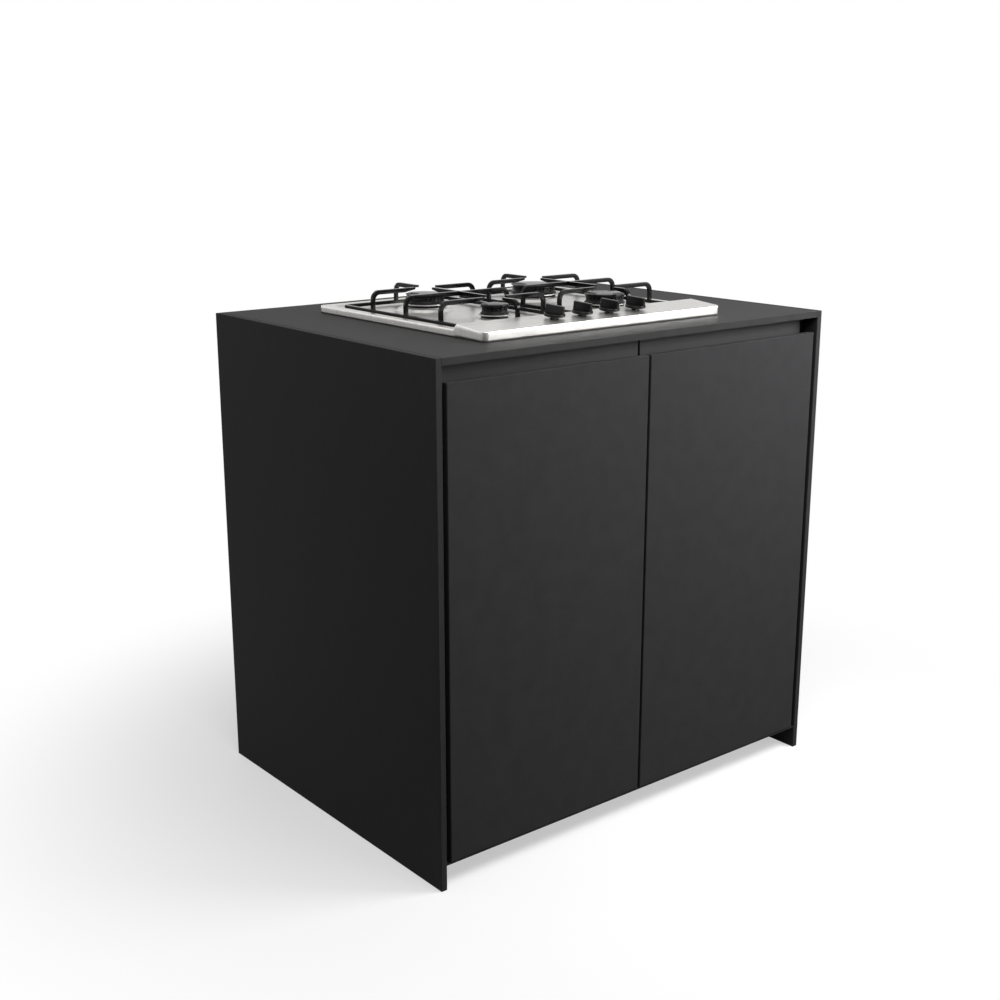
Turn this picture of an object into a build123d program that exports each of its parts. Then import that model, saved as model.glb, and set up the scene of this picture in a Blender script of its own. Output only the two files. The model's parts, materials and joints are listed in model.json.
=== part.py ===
from build123d import *
from math import atan2, cos, degrees, pi, radians, sin, tan
import os

# Outdoor kitchen burner module: a two-door cabinet of thin slabs with a built-in gas hob.
# Millimetres. X runs to the right, Y to the back, Z up, and the origin is on the floor under
# the middle of the plan.

# Slabs of the cabinet
cabinet_width = 916.0
cabinet_depth = 695.0
worktop_height = 900.0
panel_thickness = 12.0
worktop_thickness = 12.0
door_thickness = 12.0
slab_chamfer = 0.8

# Doors and the finger recess above them
door_side_gap = 9.0
door_middle_gap = 5.0
door_floor_gap = 1.5
finger_gap = 28.0
fascia_setback = 29.0
fascia_sheet = 2.0
fascia_drop = 56.0
fascia_return_clearance = 3.0
fascia_end_gap = 16.0
fascia_middle_gap = 5.0
fascia_return_inset = 10.0
fascia_bend = 3.0

# Sheet metal carcass
carcass_sheet = 2.0
carcass_setback = 35.0
carcass_rear_flange = 22.0
floor_plate_height = 44.5
floor_plate_setback = 1.0
floor_flange_setback = 60.0
floor_flange_drop = 25.0
crossbar_height = 30.0
crossbar_width = 36.0
front_crossbar_setback = 35.0
rear_crossbar_clearance = 11.0

# Back panel
back_panel_thickness = 4.0
back_panel_inset = 12.0
vent_width = 300.0
vent_height = 70.0
vent_low_height = 150.0
vent_high_drop = 98.0
vent_overlap = 8.0
vent_sheet = 1.5
vent_slot_width = 6.0
vent_slot_pitch = 14.0
vent_slot_margin = 10.0
hose_hole_radius = 30.0
grommet_wall = 6.0
grommet_lip = 4.0
grommet_lip_thickness = 2.5

# Levelling feet
foot_x_inset = 70.0
foot_y_inset = 90.0
foot_pad_radius = 28.0
foot_pad_thickness = 8.0
foot_stem_radius = 14.0
foot_collar_radius = 32.0
foot_collar_thickness = 5.0
foot_pad_chamfer = 2.0

# Door hinges
hinge_from_edge = 10.0
hinge_behind_door = 3.2
hinge_end_offset = 100.0
hinge_pin_radius = 1.5
hinge_pin_clearance = 0.05
hinge_pin_length = 22.0
hinge_cup_radius = 17.5
hinge_cup_depth = 8.0
hinge_cup_edge = 5.0
hinge_flange_height = 52.0
hinge_flange_width = 38.0
hinge_flange_thickness = 1.5
hinge_flange_corner = 5.0
hinge_cavity_half_height = 9.0
hinge_cavity_width = 32.0
hinge_cavity_wall = 1.5
hinge_ear_width = 8.0
hinge_ear_height = 6.0
hinge_ear_thickness = 2.0
hinge_knuckle_radius = 2.9
hinge_arm_half_height = 8.5
hinge_arm_side = 0.9
hinge_arm_reach = 54.0
hinge_arm_step = 28.0
hinge_arm_slope = 12.0
hinge_plate_thickness = 3.0
hinge_plate_height = 50.0
hinge_plate_length = 40.0
hinge_plate_corner = 6.0

# Magnetic catches
catch_width = 34.0
catch_height = 12.0
catch_from_middle = 20.0
strike_thickness = 1.2
strike_width = 30.0
strike_height = 16.0
catch_gap = 0.4

# Hob top
hob_x = -23.0
hob_from_front = 77.0
hob_width = 560.0
hob_depth = 500.0
hob_sheet = 1.2
hob_corner = 10.0
hob_edge_round = 1.4
rim_height = 14.0
rim_width = 14.0
well_floor = 7.0
well_corner = 16.0
strip_front_height = 17.5
strip_crest_height = 23.7
strip_depth = 74.0
ramp_depth = 17.0
crest_round = 5.0
ramp_foot_round = 5.0
boss_height = 6.0
boss_top_margin = 11.0
boss_slope = 6.0
hob_overlap = 15.0
cutout_corner = 12.0

# Under the hob
box_sheet = 1.0
box_gap = 5.5
box_depth = 54.0
box_corner = 8.0
seal_gap = 0.5
seal_width = 9.0
clamp_sheet = 2.0
clamp_width = 26.0
clamp_reach = 32.0
clamp_leg = 22.0
clamp_drop = 6.0
clamp_from_end = 100.0
clamp_screw_radius = 2.0
clamp_screw_tail = 8.0
clamp_screw_head_radius = 4.0
clamp_screw_head = 3.0
clamp_screw_inset = 8.0

# Burners
burner_from_side = 147.6
burner_from_front = 156.7
burner_from_rear = 137.0
auxiliary_cap_radius = 25.0
semi_rapid_cap_radius = 37.5
rapid_cap_radius = 45.0
seat_gap = 0.3
cup_step_in = 7.0
cup_wall = 3.0
cup_flange = 3.0
cup_flange_thickness = 1.8
cup_seat = 7.0
cup_neck_in = 1.0
cup_drop = 12.0
cup_stem_radius = 11.0
cup_stem_drop = 34.0
cup_hole_clearance = 0.5
inlet_height = -24.0
inlet_radius = 8.0
inlet_length = 28.0
crown_height = 12.0
crown_foot_flare = 3.0
crown_foot_height = 4.5
crown_foot_edge = 1.2
crown_set_in = 2.5
crown_wall = 3.5
crown_floor = 3.0
crown_spigot = 3.0
crown_spigot_wall = 2.5
crown_spigot_clearance = 0.4
port_depth = 5.0
port_width = 2.2
port_pitch = 9.0
cap_edge = 5.5
cap_dome = 1.5
cap_dome_sag = 0.3
cap_edge_round = 1.2
cap_shoulder_in = 3.6
cap_shoulder_rise = 0.5
cap_ring_depth = 2.5
cap_ring_wall = 2.5
cap_ring_clearance = 0.6

# Injectors, spark electrodes and flame sensors
injector_radius = 3.0
injector_head_radius = 4.5
injector_head_height = 4.0
injector_shank = 14.0
electrode_offset = 6.6
electrode_radius = 2.2
electrode_top = 28.0
electrode_bottom = -20.0
electrode_tip_radius = 0.9
electrode_tip = 4.5
electrode_angle = 66.0
sensor_angle = 36.0
sensor_radius = 1.8
sensor_top = 31.0
sensor_collar_radius = 3.0
sensor_collar_top = 20.0
sensor_collar_bottom = 8.0
electrode_hole_clearance = 0.4

# Knobs and gas taps
knob_count = 4
knob_pitch = 64.2
knob_from_front = 38.0
knob_hole_radius = 8.2
knob_lift = 4.5
knob_push = 3.5
knob_skirt_radius = 18.5
knob_skirt_thickness = 5.0
knob_skirt_round = 1.2
knob_neck_radius = 7.0
knob_neck_foot = 1.0
knob_grip_length = 38.0
knob_grip_width = 8.0
knob_grip_height = 14.0
knob_grip_turn = 13.0
knob_grip_corner = 2.6
knob_grip_taper = 0.6
knob_grip_bevel = 1.1
spindle_radius = 3.0
spindle_flat = 2.0
spindle_top = 9.5
spindle_bottom = -38.0
spindle_fit = 0.05
spindle_collar_radius = 5.5
spindle_collar_thickness = 2.0
tap_neck_radius = 7.5
tap_neck_top = -11.0
tap_neck_sink = 4.0
tap_top = -22.0
tap_width = 24.0
tap_depth = 26.0
tap_base = -42.0
tap_outlet_radius = 6.0
tap_outlet_drop = 3.0
tap_outlet_length = 10.0
tap_edge = 1.5

# Gas pipes
manifold_radius = 6.0
manifold_height = -44.0
manifold_start = 20.0
manifold_from_side = 44.0
manifold_bend = 20.0
pipe_radius = 3.0
pipe_insert = 6.0
pipe_turn = 12.0
pipe_bend = 12.0
gas_inlet_from_rear = 65.0
gas_inlet_drop = 24.0
gas_inlet_top = 4.0
gas_inlet_body_radius = 12.0
gas_inlet_flange_radius = 16.0
gas_inlet_flange = 4.0
gas_thread_radius = 10.48
gas_thread_length = 16.0
gas_inlet_reach = 20.0
spark_box_x = 60.0
spark_box_from_rear = 60.0
spark_box_length = 76.0
spark_box_width = 40.0
spark_box_height = 26.0
spark_box_round = 3.0
spark_terminal_radius = 2.5
spark_terminal_height = 6.0
spark_terminal_pitch = 14.0

# Pan supports
support_from_middle = 16.0
support_from_side = 26.2
support_bar = 7.0
support_top = 51.0
support_rail_height = 6.5
support_pad = 3.0
support_corner = 14.0
support_bend = 17.0
support_tip_radius = 24.6
support_tip_height = 4.0
support_finger_height = 8.0
support_tip_taper = 24.0
support_front_margin = 67.2
support_rear_margin = 99.5
support_edge = 0.8
support_foot_radius = 3.0
support_peg_radius = 1.5
support_peg_height = 3.0
support_foot_inset = 26.0

# Places worked out from the sizes above
front = -cabinet_depth / 2
back = cabinet_depth / 2
inner_x = cabinet_width / 2 - panel_thickness
worktop_under = worktop_height - worktop_thickness
floor_top = floor_plate_height + carcass_sheet
door_bottom = floor_top + door_floor_gap
door_top = worktop_under - finger_gap
door_back = front + door_thickness
door_outer_x = inner_x - door_side_gap
fascia_y = front + fascia_setback
back_panel_front = back - back_panel_inset - back_panel_thickness
hinge_x = door_outer_x - hinge_from_edge
hinge_y = door_back + hinge_behind_door
hinge_heights = (door_bottom + hinge_end_offset, door_top - hinge_end_offset)
vent_heights = (vent_low_height, worktop_under - vent_high_drop)
hob_y = front + hob_from_front + hob_depth / 2
cutout_rear = hob_y + hob_depth / 2 - hob_overlap
crossbar_ys = (front + front_crossbar_setback, cutout_rear + rear_crossbar_clearance)
hob_front = -hob_depth / 2
crest_y = hob_front + strip_depth
strip_tilt = degrees(atan2(strip_crest_height - strip_front_height, strip_depth))
well_front = crest_y + ramp_depth
boss_top = well_floor + boss_height
ring_top = boss_top + cup_seat
crown_foot = ring_top + seat_gap
crown_top = crown_foot + crown_height
cap_under = crown_top + seat_gap
rail_bottom = well_floor + seat_gap + support_pad
clamp_y = hob_depth / 2 - clamp_from_end
burner_x = hob_width / 2 - burner_from_side
front_burner_y = hob_front + burner_from_front
rear_burner_y = hob_depth / 2 - burner_from_rear
support_inner_reach = burner_x - support_from_middle
support_outer_reach = hob_width / 2 - support_from_side - burner_x
support_half_width = (support_inner_reach + support_outer_reach) / 2
support_x = burner_x + (support_outer_reach - support_inner_reach) / 2
tap_outlet_height = inlet_height - tap_outlet_drop
manifold_side_x = hob_width / 2 - manifold_from_side
gas_inlet_y = hob_depth / 2 - gas_inlet_from_rear
gas_inlet_height = -box_depth - gas_inlet_drop
hose_hole_x = hob_x + manifold_side_x
hose_hole_height = worktop_height + gas_inlet_height
spark_box_y = hob_depth / 2 - spark_box_from_rear
box_half_x = hob_width / 2 - hob_overlap - box_gap
box_half_y = hob_depth / 2 - hob_overlap - box_gap
burners = {
    "rear_left": (-burner_x, rear_burner_y, semi_rapid_cap_radius),
    "front_left": (-burner_x, front_burner_y, auxiliary_cap_radius),
    "rear_right": (burner_x, rear_burner_y, rapid_cap_radius),
    "front_right": (burner_x, front_burner_y, semi_rapid_cap_radius),
}
knob_xs = [(index - (knob_count - 1) / 2) * knob_pitch for index in range(knob_count)]
knob_y = hob_front + knob_from_front
knob_surface = strip_front_height + knob_from_front * tan(radians(strip_tilt))
on_hob = Pos(hob_x, hob_y, worktop_height)


def block(x0, x1, y0, y1, z0, z1):
    """A square-edged solid between two opposite corners."""
    return Pos((x0 + x1) / 2, (y0 + y1) / 2, (z0 + z1) / 2) * Box(x1 - x0, y1 - y0, z1 - z0)


def turned(points):
    """A solid of revolution about Z from the half profile's points (radius, height)."""
    return revolve(Plane.XZ * Polygon(*points, align=None), Axis.Z)


def rounded_block(width, depth, corner, z0, z1):
    """An upright solid with rounded corners in plan, centred on Z."""
    return extrude(Pos(0, 0, z0) * RectangleRounded(width, depth, corner), z1 - z0)


def rod(radius, z0, z1):
    """A round bar along Z."""
    return Pos(0, 0, z0) * Cylinder(radius, z1 - z0, align=(Align.CENTER, Align.CENTER, Align.MIN))


def pipe(points, radius, bend):
    """A round tube's outer form along straight runs joined by arcs."""
    path = FilletPolyline(*points, radius=bend)
    return sweep(Plane(path @ 0, z_dir=path % 0) * Circle(radius), path=path)


def group(pieces):
    """Separate solids that share one node."""
    return Compound(children=[piece.solid() for piece in pieces])


def side_panel(side):
    """Slab from the floor to the top, square with a fine chamfer all round."""
    x0 = min(side * inner_x, side * cabinet_width / 2)
    slab = block(x0, x0 + panel_thickness, front, back, 0, worktop_height)
    return chamfer(slab.edges(), slab_chamfer)


def worktop():
    """Slab between the side panels, flush with their tops, cut out for the hob."""
    slab = block(-inner_x, inner_x, front, back, worktop_under, worktop_height)
    slab = chamfer(slab.edges().group_by(Axis.Z)[-1], slab_chamfer)
    cutout = rounded_block(
        hob_width - 2 * hob_overlap,
        hob_depth - 2 * hob_overlap,
        cutout_corner,
        -2 * worktop_thickness,
        worktop_thickness,
    )
    return slab - on_hob * cutout


def door(side):
    """Door slab with a round pocket for each hinge cup in its back."""
    x_inner = side * door_middle_gap / 2
    x_outer = side * door_outer_x
    x0 = min(x_inner, x_outer)
    x1 = max(x_inner, x_outer)
    slab = block(x0, x1, front, door_back, door_bottom, door_top)
    slab = chamfer(slab.edges().group_by(Axis.Y)[0], slab_chamfer)
    cup_x = side * (door_outer_x - hinge_cup_edge - hinge_cup_radius)
    for height in hinge_heights:
        pocket = Rot(X=90) * rod(hinge_cup_radius, 0, hinge_cup_depth)
        slab -= Pos(cup_x, door_back, height) * pocket
    return slab


def fascia(side):
    """Bent sheet behind the door tops: face, forward return below and fixing flange above."""
    lip_y = door_back + fascia_return_clearance
    bottom = worktop_under - fascia_drop
    outer = [
        (lip_y, bottom),
        (fascia_y + fascia_sheet, bottom),
        (fascia_y + fascia_sheet, worktop_under - fascia_sheet),
        (front + carcass_setback, worktop_under - fascia_sheet),
        (front + carcass_setback, worktop_under),
        (fascia_y, worktop_under),
        (fascia_y, bottom + fascia_sheet),
        (lip_y, bottom + fascia_sheet),
    ]
    bends = [0, fascia_bend, 0, 0, 0, fascia_bend - fascia_sheet, 0, 0]
    section = make_face(FilletPolyline(*outer, radius=bends, close=True))
    x0 = fascia_middle_gap / 2
    x1 = inner_x - fascia_end_gap
    sheet = Pos(x0, 0, 0) * extrude(Plane.YZ * section, x1 - x0)
    sheet -= block(x1 - fascia_return_inset, x1, lip_y, fascia_y, bottom, bottom + fascia_sheet)
    return sheet if side > 0 else mirror(sheet, about=Plane.YZ)


def carcass_side(side):
    """Upright sheet behind the side panel, with a flange at the rear for the back panel."""
    x0 = inner_x - carcass_sheet
    plan = Polygon(
        (inner_x, front + carcass_setback),
        (inner_x, back_panel_front),
        (inner_x - carcass_rear_flange, back_panel_front),
        (inner_x - carcass_rear_flange, back_panel_front - carcass_sheet),
        (x0, back_panel_front - carcass_sheet),
        (x0, front + carcass_setback),
        align=None,
    )
    sheet = Pos(0, 0, floor_top) * extrude(plan, worktop_under - floor_top)
    return sheet if side > 0 else mirror(sheet, about=Plane.YZ)


def floor_plate():
    """Thin plate that reaches to the door fronts, with its sides folded down behind them."""
    y0 = front + floor_plate_setback
    plate = block(-inner_x, inner_x, y0, back_panel_front, floor_plate_height, floor_top)
    for side in (-1, 1):
        x0 = min(side * inner_x, side * (inner_x - carcass_sheet))
        plate += block(
            x0,
            x0 + carcass_sheet,
            front + floor_flange_setback,
            back_panel_front,
            floor_plate_height - floor_flange_drop,
            floor_plate_height,
        )
    return plate


def crossbar(y0):
    """Channel under the worktop from one carcass side to the other, open downwards."""
    half = inner_x - carcass_sheet
    foot = worktop_under - crossbar_height
    section = Polygon(
        (y0, worktop_under),
        (y0 + crossbar_width, worktop_under),
        (y0 + crossbar_width, foot),
        (y0 + crossbar_width - carcass_sheet, foot),
        (y0 + crossbar_width - carcass_sheet, worktop_under - carcass_sheet),
        (y0 + carcass_sheet, worktop_under - carcass_sheet),
        (y0 + carcass_sheet, foot),
        (y0, foot),
        align=None,
    )
    return extrude(Plane.YZ * section, half, both=True)


def back_panel():
    """Board with a window for each vent grille and a hose hole in line with the gas inlet."""
    y1 = back_panel_front + back_panel_thickness
    board = block(-inner_x, inner_x, back_panel_front, y1, floor_plate_height, worktop_under)
    middle = (back_panel_front + y1) / 2
    for height in vent_heights:
        window = Box(vent_width, 2 * back_panel_thickness, vent_height)
        board -= Pos(0, middle, height) * window
    hole = Rot(X=90) * Cylinder(hose_hole_radius, 2 * back_panel_thickness)
    return board - Pos(hose_hole_x, middle, hose_hole_height) * hole


def vent_grille(height):
    """Flat grille over a window of the back panel, with a row of upright slots."""
    plate = Rectangle(vent_width + 2 * vent_overlap, vent_height + 2 * vent_overlap)
    slots = round((vent_width - 2 * vent_slot_margin) / vent_slot_pitch)
    slot = SlotOverall(vent_height - vent_slot_margin, vent_slot_width, rotation=90)
    plate -= GridLocations(vent_slot_pitch, 1, slots, 1) * slot
    y = back_panel_front + back_panel_thickness
    return Pos(0, y + vent_sheet, height) * extrude(Plane.XZ * plate, vent_sheet)


def hose_grommet():
    """Rubber ring in the hose hole, with a lip on each face of the board."""
    inner = hose_hole_radius - grommet_wall
    lip = hose_hole_radius + grommet_lip
    half = back_panel_thickness / 2
    end = half + grommet_lip_thickness
    ring = turned(
        [
            (inner, -end),
            (lip, -end),
            (lip, -half),
            (hose_hole_radius, -half),
            (hose_hole_radius, half),
            (lip, half),
            (lip, end),
            (inner, end),
        ]
    )
    return Pos(hose_hole_x, back_panel_front + half, hose_hole_height) * Rot(X=90) * ring


def levelling_foot():
    """Turned plastic foot: pad, threaded stem and a collar under the floor plate."""
    return turned(
        [
            (0, 0),
            (foot_pad_radius - foot_pad_chamfer, 0),
            (foot_pad_radius, foot_pad_chamfer),
            (foot_pad_radius, foot_pad_thickness - foot_pad_chamfer),
            (foot_stem_radius, foot_pad_thickness),
            (foot_stem_radius, floor_plate_height - foot_collar_thickness),
            (foot_collar_radius, floor_plate_height - foot_collar_thickness),
            (foot_collar_radius, floor_plate_height),
            (0, floor_plate_height),
        ]
    )


def levelling_feet():
    """One foot near each corner of the floor plate, well back from the doors."""
    x = cabinet_width / 2 - foot_x_inset
    y = cabinet_depth / 2 - foot_y_inset
    spots = [(-x, -y), (x, -y), (-x, y), (x, y)]
    return group([Pos(px, py, 0) * levelling_foot() for px, py in spots])


def hinge_cup():
    """Door half of a hinge about its pin: cup, flange on the door's back and two ears."""
    cup_u = hinge_cup_edge + hinge_cup_radius - hinge_from_edge
    flange_v = -hinge_behind_door
    cup = Pos(cup_u, flange_v, 0) * Rot(X=90) * rod(hinge_cup_radius, 0, hinge_cup_depth)
    flange_u = cup_u + hinge_cup_radius - hinge_flange_width / 2
    plate = RectangleRounded(hinge_flange_width, hinge_flange_height, hinge_flange_corner)
    plate = Pos(flange_u, flange_v, 0) * extrude(Plane.XZ * plate, -hinge_flange_thickness)
    body = cup + plate
    half = hinge_cavity_half_height
    wall = hinge_cavity_wall
    for z0 in (half, -half - hinge_ear_thickness):
        body += block(
            -hinge_ear_width / 2,
            hinge_ear_width / 2,
            flange_v,
            hinge_ear_height / 2 + hinge_pin_radius / 2,
            z0,
            z0 + hinge_ear_thickness,
        )
    cavity_u = -hinge_ear_width / 2 - wall / 2
    cavity_depth = flange_v - hinge_cup_depth + wall
    body -= block(cavity_u, cavity_u + hinge_cavity_width, cavity_depth, hinge_ear_height, -half, half)
    return body - rod(hinge_pin_radius + hinge_pin_clearance, -hinge_pin_length, hinge_pin_length)


def hinge_arm():
    """Carcass half of a hinge: knuckle round the pin and an arm back to its mounting plate."""
    root_u = hinge_plate_thickness + carcass_sheet - door_side_gap - hinge_from_edge
    plan = Polygon(
        (hinge_arm_side, 0),
        (hinge_knuckle_radius, 0),
        (hinge_knuckle_radius, hinge_arm_reach),
        (root_u, hinge_arm_reach),
        (root_u, hinge_arm_step),
        (hinge_arm_side, hinge_arm_step - hinge_arm_slope),
        align=None,
    )
    half = hinge_arm_half_height
    arm = extrude(plan, half, both=True) + rod(hinge_knuckle_radius, -half, half)
    return arm - rod(hinge_pin_radius, -hinge_pin_length, hinge_pin_length)


def hinge_plate():
    """Plate on the carcass side that carries a hinge arm."""
    root_u = carcass_sheet - door_side_gap - hinge_from_edge
    plate = RectangleRounded(hinge_plate_length, hinge_plate_height, hinge_plate_corner)
    middle = hinge_arm_step + hinge_plate_length / 2 - hinge_plate_corner
    return Pos(root_u, middle, 0) * extrude(Plane.YZ * plate, hinge_plate_thickness)


def at_hinges(piece, sides):
    """A hinge piece at every hinge of the given sides, mirrored on the right."""
    placed = []
    for side in sides:
        turned_piece = piece if side < 0 else mirror(piece, about=Plane.YZ)
        for height in hinge_heights:
            placed.append(Pos(side * hinge_x, hinge_y, height) * turned_piece)
    return group(placed)


def door_catches():
    """Magnet block under each fascia's return, just behind the door's strike plate."""
    top = worktop_under - fascia_drop
    y0 = door_back + strike_thickness + catch_gap
    y1 = fascia_y + fascia_sheet - fascia_bend
    blocks = []
    for side in (-1, 1):
        x = side * (catch_from_middle + catch_width / 2)
        blocks.append(block(x - catch_width / 2, x + catch_width / 2, y0, y1, top - catch_height, top))
    return group(blocks)


def door_strike(side):
    """Thin steel plate on the door's back for the magnet."""
    x = side * (catch_from_middle + catch_width / 2)
    z = worktop_under - fascia_drop - catch_height / 2
    plate = Box(strike_width, strike_thickness, strike_height)
    return Pos(x, door_back + strike_thickness / 2, z) * plate


def hob_outline(inset):
    """The pressed top's side view drawn in by inset: strip, crest, ramp and level rim."""
    below = -2 * rim_height
    rim_rise = rim_height - well_floor
    ramp_slope = ramp_depth / (strip_crest_height - well_floor)
    ramp_meets_rim = well_front - rim_rise * ramp_slope
    corners = [
        (hob_front, below),
        (hob_front, strip_front_height),
        (crest_y, strip_crest_height),
        (ramp_meets_rim, rim_height),
        (hob_depth / 2, rim_height),
        (hob_depth / 2, below),
    ]
    rounds = [0, 0, crest_round, ramp_foot_round, 0, 0]
    face = make_face(FilletPolyline(*corners, radius=rounds, close=True))
    return face if inset == 0 else offset(face, -inset, kind=Kind.INTERSECTION)


def hob_form(inset):
    """The hob top as a solid with each face moved in by inset; two of them make the shell."""
    shift = inset * tan(radians(45) / 2)
    footprint = rounded_block(
        hob_width - 2 * inset,
        hob_depth - 2 * inset,
        hob_corner - inset,
        -rim_height if inset else 0,
        2 * strip_crest_height,
    )
    body = extrude(Plane.YZ * hob_outline(inset), hob_width, both=True) & footprint
    if inset == 0:
        brim = body.edges().filter_by(Axis.Z, reverse=True).filter_by(on_brim)
        body = fillet(brim, hob_edge_round)
    floor = well_floor - inset
    over = rim_height + strip_crest_height
    rise = rim_height - well_floor
    flare = 2 * rise
    width = hob_width - 2 * rim_width + 2 * shift
    depth = hob_depth / 2 - rim_width - rise - well_front + 2 * shift
    middle = (hob_depth / 2 - rim_width - rise + well_front) / 2
    low = Pos(0, middle, floor) * RectangleRounded(width - flare, depth, well_corner)
    high = Pos(0, middle, floor + rise) * RectangleRounded(width, depth + flare, well_corner + rise)
    well = loft([low, high]) + Pos(0, middle, floor + rise) * rounded_block(
        width, depth + flare, well_corner + rise, 0, inset + hob_sheet
    )
    body -= well
    for x, y, radius in burners.values():
        top = radius + boss_top_margin - shift
        boss = Cone(top + boss_slope, top, boss_height, align=(Align.CENTER, Align.CENTER, Align.MIN))
        body += Pos(x, y, floor) * boss
    return body


def on_brim(edge):
    """True for an edge that runs round the outside of the hob top's upper face."""
    middle = edge @ 0.5
    side = hob_width / 2 - abs(middle.X) < hob_corner
    end = hob_depth / 2 - abs(middle.Y) < hob_corner
    return (side or end) and middle.Z > rim_height / 2


def burner_point(radius, angle):
    """A spot beside a burner, by the cap's radius and the angle from the right."""
    reach = radius + electrode_offset
    return reach * cos(radians(angle)), reach * sin(radians(angle))


def knob_place(index):
    """The frame of a knob: on the strip's surface, with Z square to it."""
    return on_hob * Pos(knob_xs[index], knob_y, knob_surface) * Rot(X=strip_tilt)


def hob_hole(x, y, radius):
    """The cutter of a round hole through the hob top."""
    return on_hob * Pos(x, y, 0) * rod(radius, 0, strip_crest_height)


def hob_tray():
    """Pressed stainless top of even wall, holed for the burners, electrodes and knobs."""
    shell = on_hob * (hob_form(0) - hob_form(hob_sheet))
    beside = ((electrode_angle, electrode_radius), (sensor_angle, sensor_collar_radius))
    for x, y, radius in burners.values():
        shell -= hob_hole(x, y, radius - cup_step_in + cup_hole_clearance)
        for angle, hole_radius in beside:
            px, py = burner_point(radius, angle)
            shell -= hob_hole(x + px, y + py, hole_radius + electrode_hole_clearance)
    for index in range(knob_count):
        shell -= knob_place(index) * rod(knob_hole_radius, -strip_crest_height / 2, strip_crest_height / 2)
    return shell


def burner_box():
    """Open-topped sheet box that hangs in the cut-out and closes the hob from below."""
    top = well_floor - hob_sheet
    outer = rounded_block(2 * box_half_x, 2 * box_half_y, box_corner, -box_depth, top)
    inner = rounded_block(
        2 * (box_half_x - box_sheet),
        2 * (box_half_y - box_sheet),
        box_corner - box_sheet,
        box_sheet - box_depth,
        top,
    )
    hole = Pos(manifold_side_x, gas_inlet_y, 0) * rod(gas_inlet_body_radius, -2 * box_depth, 0)
    return on_hob * (outer - inner - hole)


def hob_seal():
    """Foam frame between the worktop and the underside of the hob's rim."""
    inset = hob_sheet + seal_gap
    top = rim_height - hob_sheet
    outer = rounded_block(hob_width - 2 * inset, hob_depth - 2 * inset, hob_corner - inset, 0, top)
    inset += seal_width
    inner = rounded_block(hob_width - 2 * inset, hob_depth - 2 * inset, cutout_corner, 0, top)
    return on_hob * (outer - inner)


def hob_clamp():
    """Bent strip from the box's side out under the worktop, holed for its screw."""
    top = -worktop_thickness - clamp_drop
    section = Polygon(
        (0, top - clamp_leg),
        (clamp_sheet, top - clamp_leg),
        (clamp_sheet, top - clamp_sheet),
        (clamp_reach, top - clamp_sheet),
        (clamp_reach, top),
        (0, top),
        align=None,
    )
    strip = extrude(Plane.XZ * section, clamp_width / 2, both=True)
    hole = rod(clamp_screw_radius, top - clamp_leg, top + clamp_leg)
    return strip - Pos(clamp_reach - clamp_screw_inset, 0, 0) * hole


def clamp_screw():
    """Screw through the clamp's end, its point on the underside of the worktop."""
    bottom = -worktop_thickness - clamp_drop - clamp_screw_tail
    screw = rod(clamp_screw_radius, bottom, -worktop_thickness)
    screw += rod(clamp_screw_head_radius, bottom - clamp_screw_head, bottom)
    return Pos(clamp_reach - clamp_screw_inset, 0, 0) * screw


def at_clamps(piece):
    """A clamp piece on both sides of the burner box, front and rear."""
    placed = []
    for y in (-clamp_y, clamp_y):
        placed.append(on_hob * Pos(box_half_x, y, 0) * piece)
        placed.append(on_hob * Pos(-box_half_x, y, 0) * mirror(piece, about=Plane.YZ))
    return group(placed)


def at_burner(name, piece):
    """A piece made about a burner's centre, put in its place on the hob."""
    x, y, radius = burners[name]
    return on_hob * Pos(x, y, 0) * piece


def burner_cup(name):
    """Cast cup: neck on the boss, flange, mixing chamber, and a stem with the gas passage."""
    radius = burners[name][2]
    body = radius - cup_step_in
    chamber = body - cup_wall
    neck = radius - cup_neck_in
    flange = radius + cup_flange
    flange_under = ring_top - cup_flange_thickness
    floor = cup_wall - cup_drop
    cup = turned(
        [
            (0, -cup_stem_drop),
            (cup_stem_radius, -cup_stem_drop),
            (cup_stem_radius, -cup_drop),
            (body, -cup_drop),
            (body, boss_top),
            (neck, boss_top),
            (neck, flange_under),
            (flange, flange_under),
            (flange, ring_top),
            (chamber, ring_top),
            (chamber, floor),
            (0, floor),
        ]
    )
    along = Pos(0, 0, inlet_height) * Rot(X=90)
    cup += along * rod(inlet_radius, 0, inlet_length)
    cup -= along * rod(pipe_radius, inlet_length - pipe_insert, inlet_length)
    cup -= rod(injector_radius, floor - injector_shank, floor)
    return at_burner(name, cup)


def injector(name):
    """Brass jet screwed down into the floor of the cup."""
    floor = cup_wall - cup_drop
    shank = rod(injector_radius, floor - injector_shank, floor)
    head = Pos(0, 0, floor) * extrude(RegularPolygon(injector_head_radius, 6), injector_head_height)
    return at_burner(name, shank + head)


def crown(name):
    """Flame spreader: a cup with a flared foot, a spigot below and slots cut into its rim."""
    radius = burners[name][2]
    wall = radius - crown_set_in
    foot = wall + crown_foot_flare
    bore = wall - crown_wall
    spigot = radius - cup_step_in - cup_wall - crown_spigot_clearance
    throat = spigot - crown_spigot_wall
    body = turned(
        [
            (throat, crown_foot - crown_spigot),
            (spigot, crown_foot - crown_spigot),
            (spigot, crown_foot),
            (foot, crown_foot),
            (foot, crown_foot + crown_foot_edge),
            (wall, crown_foot + crown_foot_height),
            (wall, crown_top),
            (bore, crown_top),
            (bore, crown_foot + crown_floor),
            (throat, crown_foot + crown_floor),
        ]
    )
    ports = 2 * round(pi * radius / port_pitch)
    reach = (bore + foot) / 2
    slot = Box(2 * crown_wall + crown_foot_flare, port_width, 2 * port_depth)
    body -= Pos(0, 0, crown_top) * PolarLocations(reach, ports) * slot
    return at_burner(name, body)


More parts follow.
